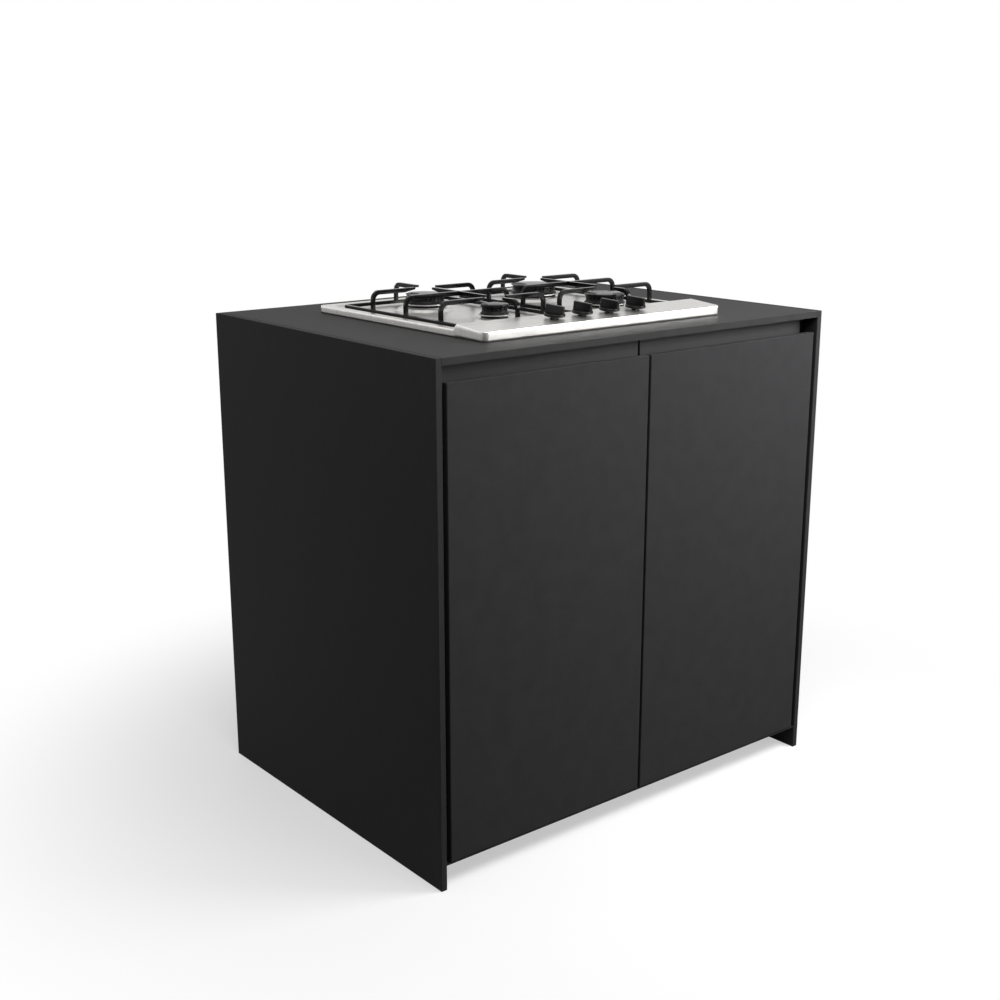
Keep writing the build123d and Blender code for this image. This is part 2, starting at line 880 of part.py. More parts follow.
def cap(name):
    """Enamelled cap: shallow dome with a rounded edge and a locating ring underneath."""
    radius = burners[name][2]
    ring = radius - crown_set_in - crown_wall - cap_ring_clearance
    edge = cap_under + cap_edge
    crest = edge + cap_dome
    shoulder = (radius - cap_shoulder_in, edge + cap_shoulder_rise)
    profile = Polyline(
        shoulder,
        (radius, edge - cap_edge_round),
        (radius, cap_under + cap_edge_round),
        (radius - cap_edge_round, cap_under),
        (ring, cap_under),
        (ring, cap_under - cap_ring_depth),
        (ring - cap_ring_wall, cap_under - cap_ring_depth),
        (ring - cap_ring_wall, cap_under),
        (0, cap_under),
        (0, crest),
    )
    dome = ThreePointArc((0, crest), (radius / 2, crest - cap_dome_sag), shoulder)
    return at_burner(name, revolve(Plane.XZ * make_face(profile + dome), Axis.Z))


def electrode(name):
    """White ceramic spark electrode beside the crown, with a steel tip."""
    px, py = burner_point(burners[name][2], electrode_angle)
    body = rod(electrode_radius, electrode_bottom, electrode_top)
    body += rod(electrode_tip_radius, electrode_top, electrode_top + electrode_tip)
    return at_burner(name, Pos(px, py, 0) * body)


def flame_sensor(name):
    """Flame sensor on the other side of the crown, in a collar through the hob top."""
    px, py = burner_point(burners[name][2], sensor_angle)
    body = rod(sensor_radius, electrode_bottom, sensor_top)
    body += rod(sensor_collar_radius, sensor_collar_bottom, sensor_collar_top)
    return at_burner(name, Pos(px, py, 0) * body)


def tap_point(depth):
    """Where a knob's axis is at a depth under the strip, in the hob's frame (Y, Z)."""
    tilt = radians(strip_tilt)
    return knob_y + depth * sin(tilt), knob_surface - depth * cos(tilt)


def tap_y():
    """The Y of the taps' middle, on the knobs' axes."""
    return tap_point(knob_surface - (tap_top + tap_base) / 2)[0]


def gas_tap(index):
    """Brass tap on the manifold: block, neck on the knob's axis and an outlet to the rear."""
    half_x = tap_width / 2
    half_y = tap_depth / 2
    outlet_end = half_y + tap_outlet_length
    body = block(-half_x, half_x, -half_y, half_y, tap_base, tap_top)
    body = chamfer(body.edges().filter_by(Axis.Z), tap_edge)
    rearward = Pos(0, 0, tap_outlet_height) * Rot(X=-90)
    body += rearward * rod(tap_outlet_radius, 0, outlet_end)
    body -= rearward * rod(pipe_radius, outlet_end - pipe_insert, outlet_end)
    body -= Pos(0, 0, manifold_height) * Rot(Y=90) * rod(manifold_radius, -tap_width, tap_width)
    body = on_hob * Pos(knob_xs[index], tap_y(), 0) * body
    neck_top = tap_neck_top - spindle_collar_thickness
    neck = rod(tap_neck_radius, tap_top - knob_surface - tap_neck_sink, neck_top)
    bore = rod(spindle_radius + spindle_fit, spindle_bottom, strip_crest_height)
    return body + knob_place(index) * neck - knob_place(index) * bore


def spindle(index):
    """Tap spindle with a stop collar and a flat for the knob."""
    shaft = rod(spindle_radius, spindle_bottom + seat_gap, spindle_top)
    flat = block(
        spindle_flat,
        2 * spindle_radius,
        -spindle_radius,
        spindle_radius,
        tap_neck_top + spindle_collar_thickness,
        spindle_top,
    )
    collar = rod(spindle_collar_radius, tap_neck_top - spindle_collar_thickness + seat_gap, tap_neck_top)
    return knob_place(index) * (shaft - flat + collar)


def knob_grip(foot, top):
    """Bar grip: straight tapered sides with rounded corners, and a bevel round its top."""
    sections = []
    for height, inset in (
        (foot, 0),
        (top - knob_grip_bevel, knob_grip_taper),
        (top, knob_grip_taper + knob_grip_bevel),
    ):
        width = knob_grip_width - 2 * inset
        length = knob_grip_length - 2 * inset
        sections.append(Pos(0, 0, height) * RectangleRounded(width, length, knob_grip_corner - inset))
    return loft(sections[:2], ruled=True) + loft(sections[1:], ruled=True)


def knob(index):
    """Knob: neck, skirt disc and a tapered bar grip turned off the tap's flat, bored to fit."""
    skirt_top = knob_lift + knob_skirt_thickness
    body = rod(knob_skirt_radius, knob_lift, skirt_top)
    body = chamfer(body.edges().filter_by(GeomType.CIRCLE), knob_skirt_round)
    body += rod(knob_neck_radius, knob_neck_foot, knob_lift)
    body += Rot(Z=knob_grip_turn) * knob_grip(skirt_top - knob_skirt_round, skirt_top + knob_grip_height)
    bore_top = spindle_top + knob_push + seat_gap
    wide = 2 * spindle_radius
    bore = rod(spindle_radius + spindle_fit, 0, bore_top)
    bore -= block(spindle_flat + spindle_fit, wide, -wide, wide, 0, bore_top)
    return knob_place(index) * (body - bore)


def gas_manifold():
    """Tube under the taps, back along the right side and down through the box's floor."""
    y = tap_y()
    points = [
        (knob_xs[0] - manifold_start, y, manifold_height),
        (manifold_side_x, y, manifold_height),
        (manifold_side_x, gas_inlet_y, manifold_height),
    ]
    return on_hob * pipe(points, manifold_radius, manifold_bend)


def feed_pipe(index):
    """Aluminium pipe from a tap's outlet to the inlet of its burner cup."""
    side = -1 if index < knob_count / 2 else 1
    inner = abs(knob_xs[index]) < knob_pitch
    cup_y = (rear_burner_y if inner else front_burner_y) - inlet_length
    turn_y = cup_y - pipe_turn - pipe_bend
    x = knob_xs[index]
    points = [
        (x, tap_y() + tap_depth / 2 + tap_outlet_length - pipe_insert, tap_outlet_height),
        (x, turn_y, tap_outlet_height),
        (side * burner_x, turn_y, inlet_height),
        (side * burner_x, cup_y + pipe_insert, inlet_height),
    ]
    return on_hob * pipe(points, pipe_radius, pipe_bend)


def gas_inlet():
    """Brass elbow under the box: flange, body and a male thread that points to the rear."""
    z1 = -box_depth
    z0 = gas_inlet_height
    top = manifold_height + manifold_radius + gas_inlet_top
    thread_end = gas_inlet_reach + gas_thread_length
    rearward = Pos(0, 0, z0) * Rot(X=-90)
    elbow = rod(gas_inlet_flange_radius, z1 - gas_inlet_flange, z1)
    elbow += rod(gas_inlet_body_radius, z0 - gas_inlet_body_radius, top)
    elbow += rearward * rod(gas_inlet_body_radius, 0, gas_inlet_reach)
    elbow += rearward * rod(gas_thread_radius, gas_inlet_reach, thread_end)
    elbow = Pos(manifold_side_x, gas_inlet_y, 0) * elbow
    end = Pos(manifold_side_x, gas_inlet_y, manifold_height) * Rot(X=90)
    return on_hob * (elbow - end * rod(manifold_radius, 0, 2 * gas_inlet_body_radius))


def spark_generator():
    """Moulded box on the burner box's floor with a terminal for each burner."""
    floor = box_sheet - box_depth
    body = block(
        -spark_box_length / 2,
        spark_box_length / 2,
        -spark_box_width / 2,
        spark_box_width / 2,
        floor,
        floor + spark_box_height,
    )
    body = fillet(body.edges().filter_by(Axis.Z), spark_box_round)
    for x in knob_xs:
        spot = Pos(x / knob_pitch * spark_terminal_pitch, 0, floor + spark_box_height)
        body += spot * rod(spark_terminal_radius, 0, spark_terminal_height)
    return on_hob * Pos(-spark_box_x, spark_box_y, 0) * body


def support_bar_solid(outline):
    """A bar of the pan support from its side view, on the XZ plane and centred on it."""
    return extrude(Plane.XZ * outline, support_bar / 2, both=True)


def support_finger(reach):
    """Leg on the rail and finger towards the burner: drawn from the burner's centre along X."""
    under = support_top - support_finger_height
    inside = reach - support_bar
    outline = FilletPolyline(
        (reach, rail_bottom),
        (reach, support_top),
        (support_tip_radius, support_top),
        (support_tip_radius, support_top - support_tip_height),
        (support_tip_radius + support_tip_taper, under),
        (inside, under),
        (inside, rail_bottom),
        radius=[0, support_bend, 0, 0, 0, support_bend - support_bar, 0],
        close=True,
    )
    return support_bar_solid(make_face(outline))


def support_arch():
    """Bar across the middle of the pan support with a leg at both ends."""
    half = support_half_width
    under = support_top - support_finger_height
    inside = half - support_bar
    inner_bend = support_bend - support_bar
    outline = FilletPolyline(
        (-half, rail_bottom),
        (-half, support_top),
        (half, support_top),
        (half, rail_bottom),
        (inside, rail_bottom),
        (inside, under),
        (-inside, under),
        (-inside, rail_bottom),
        radius=[0, support_bend, support_bend, 0, 0, inner_bend, inner_bend, 0],
        close=True,
    )
    return support_bar_solid(make_face(outline))


def support_spine():
    """Bar from front to back between the two burners, pointed at both ends."""
    y0 = front_burner_y + support_tip_radius
    y1 = rear_burner_y - support_tip_radius
    under = support_top - support_finger_height
    outline = Polygon(
        (y0, support_top),
        (y0, support_top - support_tip_height),
        (y0 + support_tip_taper, under),
        (y1 - support_tip_taper, under),
        (y1, support_top - support_tip_height),
        (y1, support_top),
        align=None,
    )
    return extrude(Plane.YZ * outline, support_bar / 2, both=True)


def support_feet_spots():
    """Where the rubber feet sit under the right pan support's side rails."""
    half = support_half_width - support_bar / 2
    y0 = front_burner_y - support_front_margin + support_foot_inset
    y1 = rear_burner_y + support_rear_margin - support_foot_inset
    return [(support_x + x, y) for y in (y0, y1) for x in (-half, half)]


def pan_support(side):
    """Enamelled pan support over a front and a rear burner: rail, legs, fingers and spine."""
    y0 = front_burner_y - support_front_margin
    y1 = rear_burner_y + support_rear_margin
    width = 2 * support_half_width
    outer = RectangleRounded(width, y1 - y0, support_corner)
    inner = RectangleRounded(width - 2 * support_bar, y1 - y0 - 2 * support_bar, support_corner - support_bar)
    rail = Pos(support_x, (y0 + y1) / 2, rail_bottom) * extrude(outer - inner, support_rail_height)
    rail = chamfer(rail.edges().group_by(Axis.Z)[-1], support_edge)
    for y in (front_burner_y, rear_burner_y):
        rail += Pos(burner_x, y, 0) * support_finger(support_outer_reach)
        rail += Pos(burner_x, y, 0) * Rot(Z=180) * support_finger(support_inner_reach)
    rail += Pos(burner_x, rear_burner_y, 0) * Rot(Z=90) * support_finger(support_rear_margin)
    rail += Pos(burner_x, front_burner_y, 0) * Rot(Z=-90) * support_finger(support_front_margin)
    rail += Pos(support_x, (front_burner_y + rear_burner_y) / 2, 0) * support_arch()
    rail += Pos(burner_x, 0, 0) * support_spine()
    for x, y in support_feet_spots():
        rail -= Pos(x, y, rail_bottom) * rod(support_peg_radius, 0, support_peg_height)
    return on_hob * (rail if side > 0 else mirror(rail, about=Plane.YZ))


def support_feet(side):
    """Rubber feet under a pan support's corners, each with a peg up into the rail."""
    foot = rod(support_foot_radius, rail_bottom - support_pad, rail_bottom)
    foot += rod(support_peg_radius, rail_bottom, rail_bottom + support_peg_height)
    return group([on_hob * Pos(side * x, y, 0) * foot for x, y in support_feet_spots()])


nodes = {
    "side_panel_left": side_panel(-1),
    "side_panel_right": side_panel(1),
    "worktop": worktop(),
    "door_left": door(-1),
    "door_right": door(1),
    "fascia_left": fascia(-1),
    "fascia_right": fascia(1),
    "carcass_side_left": carcass_side(-1),
    "carcass_side_right": carcass_side(1),
    "floor_plate": floor_plate(),
    "crossbars": group([crossbar(y) for y in crossbar_ys]),
    "back_panel": back_panel(),
    "vent_grilles": group([vent_grille(height) for height in vent_heights]),
    "hose_grommet": hose_grommet(),
    "levelling_feet": levelling_feet(),
    "hinge_cups_left": at_hinges(hinge_cup(), [-1]),
    "hinge_cups_right": at_hinges(hinge_cup(), [1]),
    "hinge_arms": at_hinges(hinge_arm(), [-1, 1]),
    "hinge_plates": at_hinges(hinge_plate(), [-1, 1]),
    "hinge_pins": at_hinges(rod(hinge_pin_radius, -hinge_pin_length / 2, hinge_pin_length / 2), [-1, 1]),
    "door_catches": door_catches(),
    "door_strike_left": door_strike(-1),
    "door_strike_right": door_strike(1),
    "hob_tray": hob_tray(),
    "burner_box": burner_box(),
    "hob_seal": hob_seal(),
    "hob_clamps": at_clamps(hob_clamp()),
    "clamp_screws": at_clamps(clamp_screw()),
    "injectors": group([injector(name) for name in burners]),
    "spark_electrodes": group([electrode(name) for name in burners]),
    "flame_sensors": group([flame_sensor(name) for name in burners]),
    "gas_taps": group([gas_tap(index) for index in range(knob_count)]),
    "gas_manifold": gas_manifold(),
    "feed_pipes": group([feed_pipe(index) for index in range(knob_count)]),
    "gas_inlet": gas_inlet(),
    "spark_generator": spark_generator(),
    "pan_support_left": pan_support(-1),
    "pan_support_right": pan_support(1),
    "support_feet_left": support_feet(-1),
    "support_feet_right": support_feet(1),
}
for burner_name in burners:
    nodes["burner_cup_" + burner_name] = burner_cup(burner_name)
    nodes["burner_crown_" + burner_name] = crown(burner_name)
    nodes["burner_cap_" + burner_name] = cap(burner_name)
for knob_index in range(knob_count):
    nodes[f"knob_{knob_index + 1}"] = knob(knob_index)
    nodes[f"spindle_{knob_index + 1}"] = spindle(knob_index)

os.makedirs("parts", exist_ok=True)
for node_name, shape in nodes.items():
    export_step(shape, f"parts/{node_name}.step")
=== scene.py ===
import json
import math

import bmesh
import bpy
import numpy as np
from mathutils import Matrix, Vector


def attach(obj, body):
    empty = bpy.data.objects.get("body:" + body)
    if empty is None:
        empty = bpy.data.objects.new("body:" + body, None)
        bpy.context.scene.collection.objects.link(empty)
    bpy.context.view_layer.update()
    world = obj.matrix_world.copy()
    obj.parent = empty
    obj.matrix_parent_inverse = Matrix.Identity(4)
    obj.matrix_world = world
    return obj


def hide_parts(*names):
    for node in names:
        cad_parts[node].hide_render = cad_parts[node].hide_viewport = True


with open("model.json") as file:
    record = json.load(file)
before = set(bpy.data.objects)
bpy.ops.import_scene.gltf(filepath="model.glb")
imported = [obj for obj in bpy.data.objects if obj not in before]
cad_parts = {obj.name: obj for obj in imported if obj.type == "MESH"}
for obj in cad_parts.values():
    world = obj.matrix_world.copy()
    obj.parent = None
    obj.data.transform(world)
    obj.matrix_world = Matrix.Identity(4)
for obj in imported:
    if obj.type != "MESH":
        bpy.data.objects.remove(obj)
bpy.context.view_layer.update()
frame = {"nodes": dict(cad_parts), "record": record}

# Outdoor kitchen burner module: how it looks. Sizes are in millimetres, as the construction has
# them, and meshes are put into the scene in metres.

# Hob top, about its own middle on the worktop
hob_place = np.array([-23.0, -20.5, 900.0])
hob_width = 560.0
hob_depth = 500.0
hob_corner = 10.0
hob_edge_round = 1.4
hob_sheet = 1.2
rim_height = 14.0
rim_width = 14.0
rim_blend = 1.5
well_floor = 7.0
well_corner = 23.0
well_slope = 7.5
strip_front_height = 17.5
strip_crest_height = 23.7
strip_depth = 74.0
ramp_depth = 17.0
crest_round = 4.0
boss_height = 6.0
boss_top_margin = 11.0
boss_slope = 6.0
boss_foot_round = 1.5
burner_hole_lip = 1.2

# Parts of the hob top that are drawn round its holes
burner_field_x = 240.0
burner_field_front = -156.0
burner_field_rear = 210.0
knob_cell = 15.0
crest_margin = 7.0

# Burners: middle X, middle Y and cap radius
burners = {
    "rear_left": (-132.4, 113.0, 37.5),
    "front_left": (-132.4, -93.3, 25.0),
    "rear_right": (132.4, 113.0, 45.0),
    "front_right": (132.4, -93.3, 37.5),
}
burner_split_y = 9.85
cup_hole_in = 6.5
# Heights of a band of painted shade: the burner cups' necks under their rims are painted near black
# where they sit in shade
cup_neck_shade_heights = (913.3, 918.4)
painted_shade_edge = 0.2
crown_foot = 20.3
crown_height = 12.0
crown_set_in = 2.5
crown_foot_flare = 3.0
crown_wall = 3.5
crown_floor = 3.0
crown_ledge = 6.0
crown_round = 0.6
port_depth = 5.0
port_width = 2.4
port_pitch = 9.0
port_blend = 0.7
port_steps = 16
port_foot = 0.8
cap_under = 32.6
cap_edge = 5.5
cap_dome = 1.5
cap_round = 1.1
cap_shoulder = 2.2
cap_dome_foot = 0.25
cap_edge_fall = 0.35
cap_ring = 2.5
cap_ring_gap = 0.6

# Curves between a burner's forms: distance out from the wall or the dome's foot, and height
crown_flare_line = ((2.7, 1.5), (1.5, 3.2), (0.4, 4.3), (0.0, 5.4))
cap_shoulder_line = ((0.9, 0.1), (1.6, -0.15))

# Knobs. The hole's lip is listed by distance out from the hole and height above the strip
knob_xs = [-96.3, -32.1, 32.1, 96.3]
knob_y = -212.0
knob_hole_radius = 8.2
knob_hole_lip = ((1.0, 0.0), (0.2, -0.25), (0.0, -1.2))
knob_lift = 4.5
knob_skirt_radius = 18.5
knob_skirt_thickness = 5.0
knob_skirt_round = 1.2
knob_border = 2.2
knob_border_slope = 0.6
knob_border_depth = 0.35
knob_neck_radius = 7.0
knob_neck_foot = 1.0
knob_neck_chamfer = 0.5
knob_neck_fillet = 0.4
knob_grip_length = 38.0
knob_grip_width = 8.0
knob_grip_height = 14.0
knob_grip_turn = 13.0
knob_grip_corner = 2.6
knob_grip_least_corner = 0.5
knob_grip_taper = 0.6
knob_grip_round = 1.0
knob_grip_root = 0.8

# Pan supports
support_inner = 16.0
support_outer = 253.8
support_front = -160.5
support_rear = 212.5
support_bar = 7.0
support_corner = 14.0
support_bend = 17.0
support_top = 51.0
support_finger_height = 8.0
support_tip_radius = 24.6
support_tip_height = 4.0
support_tip_taper = 24.0
support_round = 0.9
support_spacing = 3.0
rail_bottom = 10.3
rail_foot = 11.3
rail_height = 6.5

# Insect screens in the two vent windows of the back panel
screen_width = 299.0
screen_height = 69.0
screen_corner = 2.0
screen_rear = 335.4
screen_thickness = 0.5
vent_heights = {"low": 150.0, "high": 802.0}

# Studio: the floor's reach in millimetres, levels from 0 to 1, and other places in metres
floor_reach = 20000.0
floor_glow = 0.51
floor_shadow_share = 0.54
floor_bounce = 0.15
floor_fade = (0.5, 1.25)
ambient_level = 0.04
mirror_levels = (-0.45, 0.35, 0.2, 0.95)
backdrop_way = (0.0, 0.96, 0.27)
camera_place = (-1.7005, -2.0350, 1.2372)
camera_tilt = 75.086
camera_turn = -39.03
camera_lens = 50.36
camera_film = 36.0

# Lamps: place, aim, width, height and power in watts
lamps = {
    "overhead": ((-0.4, -1.0, 1.9), (0.0, -0.1, 0.7), 1.3, 0.9, 16.0),
    "front": ((0.9, -1.1, 1.35), (0.1, -0.3, 0.8), 0.8, 0.5, 25.0),
    "low_front": ((1.9, -2.4, 0.98), (0.0, -0.3, 0.9), 1.2, 0.6, 8.0),
    "left": ((-1.9, 1.9, 1.15), (-0.3, 0.0, 0.9), 1.0, 0.7, 3.5),
    "rear": ((0.5, 2.9, 0.6), (0.0, 0.3, 0.45), 2.2, 0.5, 26.0),
    "fill": ((-2.4, 0.4, 2.2), (-0.9, 0.1, 0.3), 2.4, 2.4, 6.0),
}

metres = 0.001
merge_metres = 2e-6
nearly = 1e-3


# Numpy shapes


def unit(vectors):
    """Vectors divided by their own length."""
    return vectors / np.linalg.norm(vectors, axis=-1, keepdims=True)


def rounded_outline(corners, radii, steps=5):
    """Closed outline with an arc at each corner. The arc's middle lies on the corner's bisector,
    radius / sin(half angle) away, and its points share out the turn between the two straight
    edges in equal angles."""
    here = np.array(corners, float)
    radius = np.broadcast_to(np.array(radii, float), len(here))[:, None]
    to_last = unit(np.roll(here, 1, axis=0) - here)
    to_next = unit(np.roll(here, -1, axis=0) - here)
    half = np.arccos(np.clip((to_last * to_next).sum(1, keepdims=True), -1, 1)) / 2
    middle = here + unit(to_last + to_next) * radius / np.sin(half)
    first = here + to_last * radius / np.tan(half) - middle
    last = here + to_next * radius / np.tan(half) - middle
    turn = (math.pi - 2 * half)[:, None]
    share = np.linspace(0, 1, steps)[None, :, None]
    arc_points = np.sin((1 - share) * turn) * first[:, None] + np.sin(share * turn) * last[:, None]
    return (middle[:, None] + arc_points / np.sin(turn)).reshape(-1, 2)


def rectangle(half_x, half_y, radius, steps=5):
    """Rounded rectangle about its own middle, from its front right corner on."""
    corners = [(half_x, -half_y), (half_x, half_y), (-half_x, half_y), (-half_x, -half_y)]
    return rounded_outline(corners, radius, steps)


def mitres(outline):
    """How far each point of a closed outline moves for its two edges to move out by one: the sum
    of the edges' normals n, times 2 / |n|^2."""
    ahead = unit(np.roll(outline, -1, axis=0) - outline)
    normal = np.stack([ahead[:, 1], -ahead[:, 0]], axis=1)
    total = normal + np.roll(normal, 1, axis=0)
    return 2 * total / (total**2).sum(1, keepdims=True)


def arc(middle, radius, start, end, steps=5):
    """Points of a circular arc in a half profile, with angles in degrees."""
    angle = np.radians(np.linspace(start, end, steps))
    return list(zip(middle[0] + radius * np.cos(angle), middle[1] + radius * np.sin(angle)))


def grid(points, loop_rows=False, loop_columns=False):
    """Quads over a grid of points: each point joins the next of its row and of its column, and a
    looped direction joins its last point to its first."""
    here = np.arange(points.shape[0] * points.shape[1]).reshape(points.shape[:2])
    right = np.roll(here, -1, axis=1)
    below = np.roll(here, -1, axis=0)
    quads = np.stack([here, right, np.roll(right, -1, axis=0), below], axis=-1)
    quads = quads if loop_rows else quads[:-1]
    quads = quads if loop_columns else quads[:, :-1]
    return points.reshape(-1, 3), quads.reshape(-1, 4).tolist()


def joined(*shells):
    """Several shells of points and faces as one."""
    starts = np.cumsum([0] + [len(points) for points, _ in shells])
    faces = [[i + start for i in face] for (_, part), start in zip(shells, starts) for face in part]
    return np.concatenate([points for points, _ in shells]), faces


def moved(shell, shift, tilt=0.0, turn=0.0):
    """A shell tipped about X, then turned about Z, then shifted."""
    points, faces = shell
    ct, st = math.cos(tilt), math.sin(tilt)
    cz, sz = math.cos(turn), math.sin(turn)
    tip = np.array([[1, 0, 0], [0, ct, -st], [0, st, ct]])
    spin = np.array([[cz, -sz, 0], [sz, cz, 0], [0, 0, 1]])
    return points @ (spin @ tip).T + np.array(shift), faces


def turned(profile, segments=96):
    """Surface of revolution: a half profile of (radius, height) carried round Z in equal steps."""
    profile = np.array(profile, float)
    angle = np.linspace(0, 2 * math.pi, segments, endpoint=False)
    ring = np.stack([np.cos(angle), np.sin(angle)], axis=1)
    flat = profile[None, :, :1] * ring[:, None, :]
    height = np.broadcast_to(profile[None, :, 1:], flat.shape[:2] + (1,))
    return grid(np.concatenate([flat, height], axis=2), loop_rows=True)


def closed_ends(points, faces, count):
    """Faces of a tube whose rings have this many points, with its first and last ring filled."""
    last = len(points) - count
    return points, faces + [list(range(count))[::-1], list(range(last, last + count))]


def lofted(levels):
    """Closed solid through stacked outlines with the same number of points: a grid of level by
    place round the outline, closed by its first and last outline."""
    return closed_ends(*grid(np.stack(levels), loop_columns=True), len(levels[0]))


def bar(outer, inner, steps=4):
    """Bar of a pan support across Y, between two lines (X, Z) with the same number of points. At
    each pair of points its section is a rounded rectangle, and at both ends it draws in by
    r - sqrt(r^2 - (r - d)^2) at d from the end."""
    edge = support_round
    middle = (outer + inner) / 2
    run = np.concatenate([[0], np.cumsum(np.linalg.norm(np.diff(middle, axis=0), axis=1))])
    near = np.clip(edge - np.minimum(run, run[-1] - run), 0, edge)
    inset = (edge - np.sqrt(edge**2 - near**2))[:, None]
    half_height = np.linalg.norm(outer - inner, axis=1)[:, None] / 2
    upward = unit(outer - inner)
    t = np.linspace(0, 2 * math.pi, 4 * steps, endpoint=False) + math.pi / 4 / steps
    across = np.sign(np.cos(t)) * (support_bar / 2 - edge) + edge * np.cos(t)
    raised = np.sign(np.sin(t)) * (half_height - edge) + edge * np.sin(t)
    across = across * (1 - 2 * inset / support_bar)
    raised = raised * (1 - inset / half_height)
    place = middle[:, None] + upward[:, None] * raised[..., None]
    rings = np.stack([place[..., 0], across, place[..., 1]], axis=2)
    return closed_ends(*grid(rings, loop_columns=True), len(t))


def piece(name, shell, closed=True, sharp=35.0):
    """Mesh object at the origin from a shell in millimetres. Doubles are merged, a closed shell's
    normals are worked out afresh, and edges sharper than the given angle stay sharp."""
    points, faces = shell
    mesh = bpy.data.meshes.new(name)
    mesh.from_pydata((points * metres).tolist(), [], faces)
    work = bmesh.new()
    work.from_mesh(mesh)
    bmesh.ops.remove_doubles(work, verts=work.verts, dist=merge_metres)
    if closed:
        bmesh.ops.recalc_face_normals(work, faces=work.faces)
    work.to_mesh(mesh)
    work.free()
    mesh.shade_smooth()
    mesh.set_sharp_from_angle(angle=math.radians(sharp))
    made = bpy.data.objects.new(name, mesh)
    bpy.context.scene.collection.objects.link(made)
    return made


def flattened(made):
    """Keeps broad flats flat in the shading where they meet narrow rounds."""
    weighted = made.modifiers.new("weighted", "WEIGHTED_NORMAL")
    weighted.keep_sharp = True
    return made


# Hob top


def signed_distance(x, y, half_x, half_y, corner, middle_y=0.0):
    """Distance to a rounded rectangle, below zero inside it: the length of the part of
    (|x|, |y|) beyond the corner's middle, less the radius."""
    over_x = np.abs(x) - (half_x - corner)
    over_y = np.abs(y - middle_y) - (half_y - corner)
    outside = np.hypot(np.maximum(over_x, 0), np.maximum(over_y, 0))
    return outside + np.minimum(np.maximum(over_x, over_y), 0) - corner


def soft_step(value):
    """0 up to 0, 1 from 1 on, and the smooth cubic s^2 (3 - 2 s) between them."""
    share = np.clip(value, 0, 1)
    return share * share * (3 - 2 * share)


def soft_least(a, b, blend):
    """The smaller of two heights. Where they differ by less than the blend k it is
    b + (a - b) m - k m (1 - m), with m = 1/2 + (b - a) / 2k."""
    mix = np.clip(0.5 + (b - a) / (2 * blend), 0, 1)
    return b + (a - b) * mix - blend * mix * (1 - mix)


def soft_most(a, b, blend):
    """The larger of two heights, with the same change-over."""
    return -soft_least(-a, -b, blend)


def hob_height(x, y):
    """Height of the pressed top: the strip rises to its crest and falls steeply behind it to the
    rim, and the rim steps down to the well along a rounded rectangle."""
    front = -hob_depth / 2
    crest = front + strip_depth
    rise = (strip_crest_height - strip_front_height) / strip_depth
    fall = (strip_crest_height - well_floor) / ramp_depth
    strip = soft_least(
        strip_front_height + (y - front) * rise,
        strip_crest_height - (y - crest) * fall,
        crest_round / 4,
    )
    step = rim_height - well_floor
    well_front = crest + ramp_depth - step
    well_rear = hob_depth / 2 - rim_width
    half_x, half_y = hob_width / 2 - rim_width, (well_rear - well_front) / 2
    away = signed_distance(x, y, half_x, half_y, well_corner, (well_front + well_rear) / 2)
    return soft_most(strip, rim_height - step * soft_step(-away / well_slope), rim_blend)


def edge_drop(x, y):
    """How far the rounded outer edge has fallen: r - sqrt(r^2 - (r - d)^2) at d from the edge."""
    inside = -signed_distance(x, y, hob_width / 2, hob_depth / 2, hob_corner)
    reach = np.clip(hob_edge_round - inside, 0, hob_edge_round)
    return hob_edge_round - np.sqrt(hob_edge_round**2 - reach**2)


def cornered(x, y):
    """Bends a square corner into a round one: in the corner's square, whose own places (a, b) run
    from 0 to 1, the point moves to (a sqrt(1 - b^2 / 2), b sqrt(1 - a^2 / 2))."""
    inner_x = hob_width / 2 - hob_corner
    inner_y = hob_depth / 2 - hob_corner
    a = np.clip((np.abs(x) - inner_x) / hob_corner, 0, 1)
    b = np.clip((np.abs(y) - inner_y) / hob_corner, 0, 1)
    bent_x = np.sign(x) * (inner_x + hob_corner * a * np.sqrt(1 - b * b / 2))
    bent_y = np.sign(y) * (inner_y + hob_corner * b * np.sqrt(1 - a * a / 2))
    corner = (a > 0) & (b > 0)
    return np.where(corner, bent_x, x), np.where(corner, bent_y, y)


def lines(*stretches):
    """Grid lines from stretches (start, end, spacing), each shared out evenly, without doubles."""
    runs = [np.linspace(a, b, max(2, round((b - a) / step) + 1)) for a, b, step in stretches]
    return np.unique(np.round(np.concatenate(runs), 6))


def between(line, low, high):
    """The grid lines from low to high."""
    return line[(line >= low - nearly) & (line <= high + nearly)]


def holed_cell(cell_x, cell_y, centre, rings, steps=5):
    """Part of the top round a hole. Rays run from the points on the cell's edge towards the hole's
    middle. The rings (radius, height above the top) cross them in circles, and steps share out the
    way from the edge to the outermost circle."""
    along_x = np.full(len(cell_x) - 1, 1.0)
    along_y = np.full(len(cell_y) - 1, 1.0)
    edge_x = [cell_x[:-1], cell_x[-1] * along_y, cell_x[:0:-1], cell_x[0] * along_y]
    edge_y = [cell_y[0] * along_x, cell_y[:-1], cell_y[-1] * along_x, cell_y[:0:-1]]
    edge = np.stack([np.concatenate(edge_x), np.concatenate(edge_y)], axis=1)
    ray = unit(edge - np.array(centre))
    radius, lift = np.array(rings, float).T
    circles = np.array(centre) + ray[None] * radius[:, None, None]
    share = np.linspace(0, 1, steps + 1)[:-1, None, None]
    flat = np.concatenate([edge[None] * (1 - share) + circles[:1] * share, circles])
    height = hob_height(flat[..., 0], flat[..., 1])
    height[steps:] += lift[:, None]
    return grid(np.concatenate([flat, height[..., None]], axis=2), loop_columns=True)


